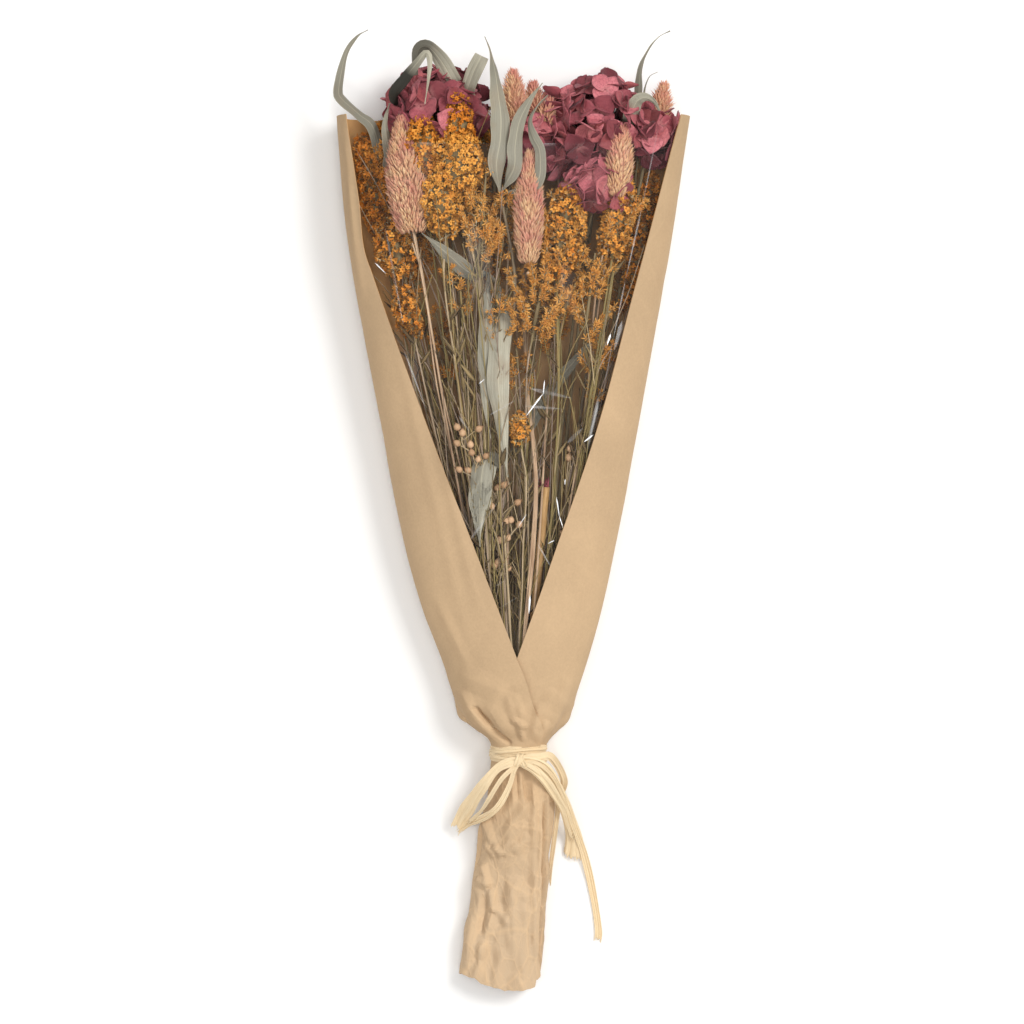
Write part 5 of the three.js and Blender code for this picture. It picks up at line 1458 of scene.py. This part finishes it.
class BouquetHydrangea(bpy.types.Operator):
    """Adds the five mopheads of hydrangea"""
    bl_idname = "bouquet.hydrangea"
    bl_label = "Hydrangea"

    def execute(self, context):
        settings = context.scene.bouquet_flowers
        sepals = [sepal(*shape) for shape in SEPALS]

        def grow(bunch, rng, node, i, name, spot, head, depth, florets, tone):
            centre = inside(*spot, depth, head)
            base = np.array([spot[0] * 0.97, spot[1] - 0.5 * head, centre[2]])
            course = [*stem_points(node, base, MOPHEAD_SUNK), tuple(centre)]
            add_stem(bunch, course, STEM_RADII["hydrangea"], rng, kind=0.1)
            hydrangea_head(bunch, rng, centre, head, florets, tone, sepals, settings.sepal / MM)

        grow_pieces(MOPHEADS, grow, "mophead_", "hydrangea_", "hydrangea", hydrangea_finish(settings),
                    settings.seed + SEED_STEPS["hydrangea"])
        return {"FINISHED"}


class BouquetGoldenrod(bpy.types.Operator):
    """Adds the plumes of dyed goldenrod"""
    bl_idname = "bouquet.goldenrod"
    bl_label = "Goldenrod"

    def execute(self, context):
        settings = context.scene.bouquet_flowers
        stars = [star(5, 0.5, 0.12, 0.3), star(6, 0.55, 0.25, 0.35), star(5, 0.45, 0.4, 0.25)]
        petal = take(blade(4, 3, [(0, 0), (0.45, 0.42), (1, 0)], 0.35), kind=0.88, along=along_y)
        longs = [long_floret(petal, 5, 0.5, 1), long_floret(petal, 6, 0.8, 2), long_floret(petal, 4, 1.0, 3)]
        leaf = take(blade(4, 5, [(0, 0), (0.3, 0.2), (0.6, 0.16), (1, 0)], 0.2), kind=0.2, along=along_y)

        def grow(bunch, rng, node, i, name, base, tip, width, depth, loose, tone):
            foot, end = (inside(*spot, depth, width * 0.36) for spot in (base, tip))
            course = stem_points(node, foot)
            path = add_stem(bunch, [*course, tuple(foot + 0.6 * (end - foot))], STEM_RADII["goldenrod"], rng)
            side_foliage(bunch, rng, path, leaf, 9, foot[1] - 4)
            more, radius, spread = PLUME_COMPANIONS
            for _ in range(more):
                path = add_stem(bunch, companion(course, rng, spread), radius, rng, sides=5, wander=0.8)
                side_foliage(bunch, rng, path, leaf, 5, foot[1] - 4)
            Plume(bunch, rng, foot, end, width, i * 2.1, loose, tone, (stars, longs), settings.floret / MM)

        grow_pieces(PLUMES, grow, "plume_", "goldenrod_", "goldenrod", goldenrod_finish(settings),
                    settings.seed + SEED_STEPS["goldenrod"])
        return {"FINISHED"}


class BouquetEucalyptus(bpy.types.Operator):
    """Adds the leafy stems of willow eucalyptus"""
    bl_idname = "bouquet.eucalyptus"
    bl_label = "Willow eucalyptus"

    def execute(self, context):
        settings = context.scene.bouquet_flowers

        def grow(bunch, rng, node, i, name, base, depth, leaves):
            foot = inside(*base, depth, 1.5)
            add_stem(bunch, stem_points(node, foot), STEM_RADII["eucalyptus"], rng, kind=0.1)
            for k, (width, kept, roll, tones, points) in enumerate(leaves):
                shape, across = long_leaf(foot, width, kept, roll, points, i * 5 + k)
                bunch.add(shape)
                bunch.rows["rise"][-1] = across
                bunch.rows["shade"][-1] = np.interp(shape.along, (0.62, 0.78), tones)

        grow_pieces(LEAFY, grow, "leaves_", "eucalyptus_", "eucalyptus", leaf_finish(settings),
                    settings.seed + SEED_STEPS["eucalyptus"])
        return {"FINISHED"}


class BouquetFlax(bpy.types.Operator):
    """Adds the sprays of flax bolls"""
    bl_idname = "bouquet.flax"
    bl_label = "Flax bolls"

    def execute(self, context):
        boll = boll_shape()

        def grow(bunch, rng, node, i, name, base, depth, spots):
            foot = inside(*base, depth, 2)
            add_stem(bunch, stem_points(node, foot), STEM_RADII["flax"], rng)
            for start, end in flax_twigs(foot, [inside(x, y, depth, 1.7) for x, y in spots]):
                mid = (start + end) / 2 + rng.normal(0, 0.8, 3)
                bunch.rod([start, mid, end], 1.5, BOLL_TWIG, 5, shade=rng.uniform(0, 1))
                bunch.add(boll, axes(unit(end - mid)[None], np.array([rng.uniform(0, 6)])), end[None],
                          BOLL_RADIUS * rng.uniform(0.9, 1.08), rng.uniform(0, 1), 1.0)

        grow_pieces(BOLLS, grow, "flax_spray_", "flax_", "flax", flax_finish(), FLAX_SEED)
        return {"FINISHED"}


# ---------------------------------------------------------------- finishes
def kraft_finish(settings):
    """Matt kraft paper: fine fibres, faint clouds and a few darker flecks, with painted light and shade:
    darker towards the mouth, lighter towards the foot, facets lighter or darker by their slope, and the inner
    face lighter but darker at the middle of the back.
    """
    paint = Paint("kraft_paper", roughness=0.82, specular_ior_level=0.25)
    along, across, inner, tilt = paint.attributes("along", "across", "inner", "tilt")
    base = tuple(settings.paper)
    fibres = paint.noise(1000, 3, at=paint.place((1, 0.8, 1)))
    clouds = paint.noise(22, 4).step(0.3, 0.7) * 0.6 + fibres.step(0.25, 0.75) * 0.4
    flecks = paint.noise(2600, 1).step(0.7, 0.78)
    wrinkles = paint.noise(130, 4, 0.6)
    lines = [1 - paint.cracks(scale, paint.place((1, 0.55, 1), (0, 0, turn))).step(0.0, reach)
             for scale, turn, reach in ((60, 0.2, 0.05), (110, -0.4, 0.06), (210, 0.5, 0.08))]
    crumpled = along.step(0.52, 0.66) * 0.85 + 0.15
    folded = (lines[0] * 0.6 + lines[1] * 0.4 + lines[2] * 0.25) * crumpled
    outer = paint.layers(
        paint.mix(clouds, times(base, 0.84), times(base, 1.08)),
        (flecks * 0.35, "8A6A42"),
        # Painted shade: the paper darkens towards the mouth.
        ((1 - along.step(0.0, 0.16)) * 0.38, "8E7658"),
        # Painted light: the paper grows lighter and paler towards the foot.
        (along.step(0.6, 0.85) * 0.5, times(base, 1.2, 1.3, 1.5)),
        # Painted light and shade: facets that face right are lighter and those that face left darker, as if
        # lit from the right.
        (tilt.step(0.0, 0.45) * 0.4, times(base, 1.3)),
        ((0 - tilt).step(0.0, 0.45) * 0.36, times(base, 0.66, 0.6, 0.56)),
        (folded * 0.6, times(base, 1.35)))
    # Painted light and shade inside: the inner face is lighter and more orange, and darker at the middle of
    # the back, where the flowers shade it.
    deep = across.step(0.26, 0.4) * (1 - across.step(0.6, 0.74))
    paint.colour(paint.mix(inner * 0.75, outer, paint.mix(deep * 0.6, "D9A66A", "5E442C")))
    paint.relief(fibres * 0.12 + wrinkles * 0.2 + folded, 0.42, 0.7)
    return paint.material


def film_finish():
    """Clear film: a faint grey veil of painted reflections in patches and wisps, painted glints along its
    lengthwise fold and on its bright slivers, and soft painted reflections on its faint ones.
    """
    paint = Paint("clear_film", base_color=(0.92, 0.92, 0.92, 1), roughness=0.12)
    across, along, kind = paint.attributes("across", "along", "kind")
    paint.relief(paint.noise(160, 3, 0.6, paint.place((1, 0.4, 1))), 0.25, 0.6)
    drawn = paint.place((1, 0.3, 1))
    # Painted reflections: a faint haze in patches and wisps, lighter along the upper edge.
    reflection_haze = paint.noise(34, 3, 0.5, drawn).step(0.58, 0.8)
    wisps = paint.noise(90, 2, 0.5, paint.place((1, 0.14, 1), (0, 0, 0.3))).step(0.62, 0.72)
    # A painted glint along the lengthwise fold.
    fold = 1 - abs(across - FILM_FOLD).step(0.0, 0.012)
    # Soft painted reflections on the faint slivers, and a little on the bright ones.
    faint = kind.step(0.1, 0.3) * (0.02 + 0.16 * paint.noise(60, 3, 0.6, drawn).step(0.4, 0.8))
    edge = along.step(0.994, 1.0)
    veil = 0.005 + reflection_haze * 0.05 + reflection_haze * wisps * 0.14 + fold * wisps * 0.25 + edge * reflection_haze * 0.3
    # The bright slivers are painted glints, nearly opaque.
    share = (veil + faint + kind.step(0.5, 0.8) * 0.8).clamp()
    clear = paint.field(0, "ShaderNodeBsdfTransparent", None, {"Color": (0.995, 0.995, 0.995, 1)})
    shine = Field(paint, paint.shader.outputs[0])
    mixed = paint.node("ShaderNodeMixShader", None, {0: share, 1: clear, 2: shine})
    paint.tree.links.new(mixed.outputs[0], paint.output.inputs[0])
    return paint.material


def raffia_finish(settings):
    """Pale raffia with fine lengthwise fibres."""
    paint = Paint("raffia", roughness=0.55, specular_ior_level=0.35)
    across, along = paint.attributes("across", "along")
    base = tuple(settings.raffia)
    fibres = paint.noise(1.0, 3, 0.6, paint.combine(across * 34, along * 5))
    dents = paint.noise(1.0, 2, 0.5, paint.combine(across * 6, along * 46))
    paint.colour(paint.layers(
        paint.mix(fibres.step(0.25, 0.7), times(base, 0.84, 0.79, 0.7), times(base, 1.06)),
        (dents.step(0.55, 0.75) * 0.3, times(base, 0.9, 0.82, 0.68))))
    paint.relief(fibres + dents * 0.6, 0.25, 0.7)
    return paint.material


def stalk_finish():
    """Smooth tan stalk with lengthwise streaks, and the reddish remains of a bract on its end."""
    paint = Paint("tan_stalk", roughness=0.6, specular_ior_level=0.35)
    rise, shade = paint.attributes("rise", "shade")
    streaks = paint.noise(700, 3, at=paint.place((1, 0.05, 1)))
    paint.colour(paint.layers(
        paint.mix(streaks.step(0.3, 0.7), "9C7342", "D0A871"),
        (rise.step(0.5, 0.6), paint.mix(shade, "6E3038", "A8545E"))))
    paint.relief(streaks, 0.2, 0.5)
    return paint.material


def canary_finish(settings):
    """Dusty pink scales that fade to straw at the foot of the spike, with painted shade at the base of each
    scale and on the core that shows between them.
    """
    paint = Paint("canary_grass", roughness=0.75, specular_ior_level=0.2, sheen_weight=0.15)
    kind, along, shade, rise = paint.attributes(*Bunch.marks)
    share = (rise * 0.7 + (paint.noise(110, 3) - 0.5) * 3.4 + (shade - 0.5) * 0.5 + 0.1).clamp()
    scales = paint.layers(
        paint.mix(shade, "E2BB90", "CF9E72"),
        (share * 0.85, paint.mix(shade, tuple(settings.canary), "D48E7C")),
        # Painted shade: each scale is darker at its base, where it lies under the next ones.
        ((1 - along.step(0.1, 0.5)) * 0.4, "AC7458"),
        (along.step(0.75, 1.0) * 0.45, "EECDAA"),
        # Painted shade: the solid core, seen only in the gaps between scales, is darker; so are the hairs at
        # the spike's foot.
        ((1 - kind.step(0.82, 0.9)) * 0.8, "9A6450"))
    paint.colour(paint.mix(kind.step(0.3, 0.5), paint.streaks(300, "9C7C60", "D6B896"), scales))
    paint.relief(paint.noise(2400, 1, at=paint.place((1, 0.3, 1))), 0.15, 0.5)
    return paint.material


def goldenrod_finish(settings):
    """Orange florets with brown eyes, grey-green cups, and olive stems, the florets darkened as painted shade
    where they lie deep or low on their clusters.
    """
    paint = Paint("goldenrod", roughness=0.78, specular_ior_level=0.2)
    kind, along, shade, rise = paint.attributes(*Bunch.marks)
    base = tuple(settings.goldenrod)
    bright = paint.mix(shade, times(base, 0.85, 0.62, 0.5), times(base, 1.12, 1.22, 1.8))
    petal = paint.layers(
        paint.mix(along.step(0.12, 0.5) * 0.6 + 0.4, "A8641E", bright),
        ((1 - along.step(0.04, 0.22)) * 0.75, "5A3010"),
        (paint.noise(160, 2).step(0.55, 0.75) * 0.3, "B06A22"),
        ((1 - kind.step(0.92, 0.98)) * 0.4, paint.mix(shade, "CC8430", "F0BE74")),
        # Painted shade: florets with a low rise are darkened.
        ((1 - rise.step(0.0, 0.8)) * 0.8, "52300F"))
    streaks = paint.noise(500, 3, at=paint.place((1, 0.05, 1))).step(0.35, 0.7)
    paint.colour(paint.layers(
        paint.ramp(shade, [(0.0, "5E4A34"), (0.25, "8C7F50"), (0.5, "A8905E"), (0.75, "A08C80"),
                           (1.0, "CDB68C")]),
        (streaks * 0.45, "7E6A48"),
        (kind.step(0.1, 0.18), paint.mix(shade, "54432E", "9A845C")),
        (kind.step(0.35, 0.45), paint.mix(shade, "9A8860", "DCCDA6")),
        (kind.step(0.7, 0.8), petal)))
    paint.relief(paint.noise(1500, 2), 0.12, 0.5)
    return paint.material


def hydrangea_finish(settings):
    """Dusty burgundy sepals with veins and darker edges, on brown stalks."""
    paint = Paint("hydrangea", roughness=0.7, specular_ior_level=0.25, sheen_weight=0.1)
    kind, along, shade, rise = paint.attributes(*Bunch.marks)
    base = tuple(settings.hydrangea)
    clouds = paint.noise(140, 4, 0.6)
    veins = 1 - abs(paint.noise(420, 3, 0.6) - 0.5).step(0.0, 0.05)
    sepals = paint.layers(
        paint.ramp(shade, [(0.0, times(base, 0.3)), (0.45, times(base, 0.85)),
                           (1.0, times(base, 1.4, 1.9, 1.75))]),
        (clouds.step(0.4, 0.75) * 0.35, "7E2E36"),
        (rise.step(0.5, 1.0) * 0.4, "A05048"),
        (along.step(0.84, 1.0) * 0.55, "6E2C38"),
        ((1 - along.step(0.0, 0.3)) * 0.4, "CE9690"),
        (veins * 0.4, "6E2C38"))
    paint.colour(paint.layers(
        paint.streaks(400, "5E5038", "8E7E5C"),
        (kind.step(0.15, 0.22), paint.mix(shade, "4A2A2E", "7C5850")),
        (kind.step(0.5, 0.6), sepals)))
    paint.relief(veins * 0.7 + clouds, 0.3, 0.5)
    return paint.material


def leaf_finish(settings):
    """Grey-green dried leaves with fine lengthwise veins, one half of each painted darker as the shade of its
    fold. Their last mark is the place across the leaf.
    """
    paint = Paint("eucalyptus", roughness=0.68, specular_ior_level=0.3)
    kind, along, shade, across = paint.attributes(*Bunch.marks)
    base = tuple(settings.leaf)
    veins = paint.noise(1.0, 3, 0.6, paint.combine(across * 30, along * 3, shade * 40))
    pale = shade.step(0.0, 0.4)
    off_rib = abs(across - 0.5)
    rib = 1 - off_rib.step(0.012, 0.035)
    leaf = paint.layers(
        paint.ramp(shade, [(0.0, times(base, 0.1)), (0.3, times(base, 0.6)), (1.0, times(base, 1.5))]),
        # Painted shade: the half of the leaf on one side of its fold is darker.
        (across.step(0.48, 0.52) * pale * 0.4, times(base, 0.74)),
        (veins.step(0.42, 0.62) * pale * 0.5, times(base, 0.66)),
        (paint.noise(60, 4).step(0.5, 0.72) * pale * 0.4, "8E775C"),
        (rib * pale * 0.5, "C2BAA0"),
        (off_rib.step(0.45, 0.5) * pale * 0.5, "BDB59C"))
    paint.colour(paint.mix(kind.step(0.4, 0.6), paint.streaks(400, "5E5040", "8A7A60"), leaf))
    paint.relief(veins - rib * 0.5, 0.3, 0.6)
    return paint.material


def flax_finish():
    """Round tan bolls on pale straw twigs."""
    paint = Paint("flax", roughness=0.65, specular_ior_level=0.3)
    kind, along, shade = paint.attributes("kind", "along", "shade")
    boll = paint.layers(
        paint.mix(shade, "B08A66", "D2AC86"),
        (along.step(0.72, 0.95), "6E4C34"),
        (paint.noise(900, 2).step(0.5, 0.7) * 0.3, "8E6848"))
    paint.colour(paint.mix(kind.step(0.4, 0.6), paint.mix(shade, "8C7A58", "BCA684"), boll))
    paint.relief(paint.noise(1400, 2), 0.12, 0.5)
    return paint.material


# ---------------------------------------------------------------- stage
# Soft lamps that face the middle of the table, in metres and watts: place, size, power.
LAMPS = {
    "key": ((0.95, 0.6, 1.5), 0.7, 22),
    "fill": ((-1.2, -0.2, 1.6), 1.4, 8),
    "top": ((0.1, 0.1, 2.6), 0.9, 14),
    "strip": ((0.25, -0.9, 2.2), 0.25, 4),
}
FLOOR_SIZE, FLOOR_LEVEL = 6, -0.0004  # in metres, a little under the table's height
SENSOR = 36  # width of the camera's sensor
VIEW_LEVEL = 0.03  # height at which the camera sees the view's width, in metres


class BouquetStage(bpy.types.Operator):
    """Adds the floor, the soft lights and the camera straight above"""
    bl_idname = "bouquet.stage"
    bl_label = "Stage"

    def execute(self, context):
        settings = context.scene.bouquet_stage
        deselect()
        bpy.ops.mesh.primitive_plane_add(size=FLOOR_SIZE, location=(0, 0, FLOOR_LEVEL))
        floor = bpy.context.object
        floor.name = "floor"
        paint = Paint("floor", roughness=0.9, specular_ior_level=0.1)
        tone = tuple(settings.floor)
        paint.colour(paint.mix(paint.noise(40, 3), times(tone, 0.985), tone))
        floor.data.materials.append(paint.material)
        for name, (place, size, power) in LAMPS.items():
            lamp = bpy.data.lights.new(name, "AREA")
            lamp.energy, lamp.size = power, size
            light = bpy.data.objects.new(name, lamp)
            context.scene.collection.objects.link(light)
            light.location = place
            light.rotation_euler = (-Vector(place)).to_track_quat("-Z", "Y").to_euler()
        world = bpy.data.worlds.new("studio")
        world.use_nodes = True
        sky = world.node_tree.nodes["Background"].inputs
        sky["Color"].default_value = (1, 1, 1, 1)
        sky["Strength"].default_value = 0.5
        context.scene.world = world
        camera = bpy.data.cameras.new("above")
        camera.lens, camera.sensor_width = settings.lens, SENSOR
        eye = bpy.data.objects.new("above", camera)
        context.scene.collection.objects.link(eye)
        reach = settings.view_width / 2 / (SENSOR / 2 / settings.lens)
        eye.location = (SHIFT[0] * MM, SHIFT[1] * MM, VIEW_LEVEL + reach)
        context.scene.camera = eye
        context.scene.view_settings.view_transform = "Standard"
        return {"FINISHED"}


class BouquetPanel(bpy.types.Panel):
    """Shows the bouquet's settings and a button for each step"""
    bl_idname = "VIEW3D_PT_bouquet"
    bl_label = "Dried flower bouquet"
    bl_space_type = "VIEW_3D"
    bl_region_type = "UI"
    bl_category = "Bouquet"

    def draw(self, context):
        for group in (context.scene.bouquet_wrap, context.scene.bouquet_flowers, context.scene.bouquet_stage):
            box = self.layout.box()
            for key in group.__annotations__:
                box.prop(group, key)
        for operator in OPERATORS:
            self.layout.operator(operator.bl_idname)


GROUPS = {
    "bouquet_wrap": BouquetWrapSettings,
    "bouquet_flowers": BouquetFlowerSettings,
    "bouquet_stage": BouquetStageSettings,
}
OPERATORS = [
    BouquetStage, BouquetSleeve, BouquetWindow, BouquetTie, BouquetStalk, BouquetCanaryGrass,
    BouquetHydrangea, BouquetGoldenrod, BouquetEucalyptus, BouquetFlax,
]


def register():
    for cls in (*GROUPS.values(), *OPERATORS, BouquetPanel):
        bpy.utils.register_class(cls)
    for name, cls in GROUPS.items():
        setattr(bpy.types.Scene, name, PointerProperty(type=cls))


def unregister():
    for name in GROUPS:
        delattr(bpy.types.Scene, name)
    for cls in (BouquetPanel, *reversed(OPERATORS), *GROUPS.values()):
        bpy.utils.unregister_class(cls)


def main():
    register()
    for operator in OPERATORS:
        group, name = operator.bl_idname.split(".")
        getattr(getattr(bpy.ops, group), name)()


if __name__ == "__main__":
    main()
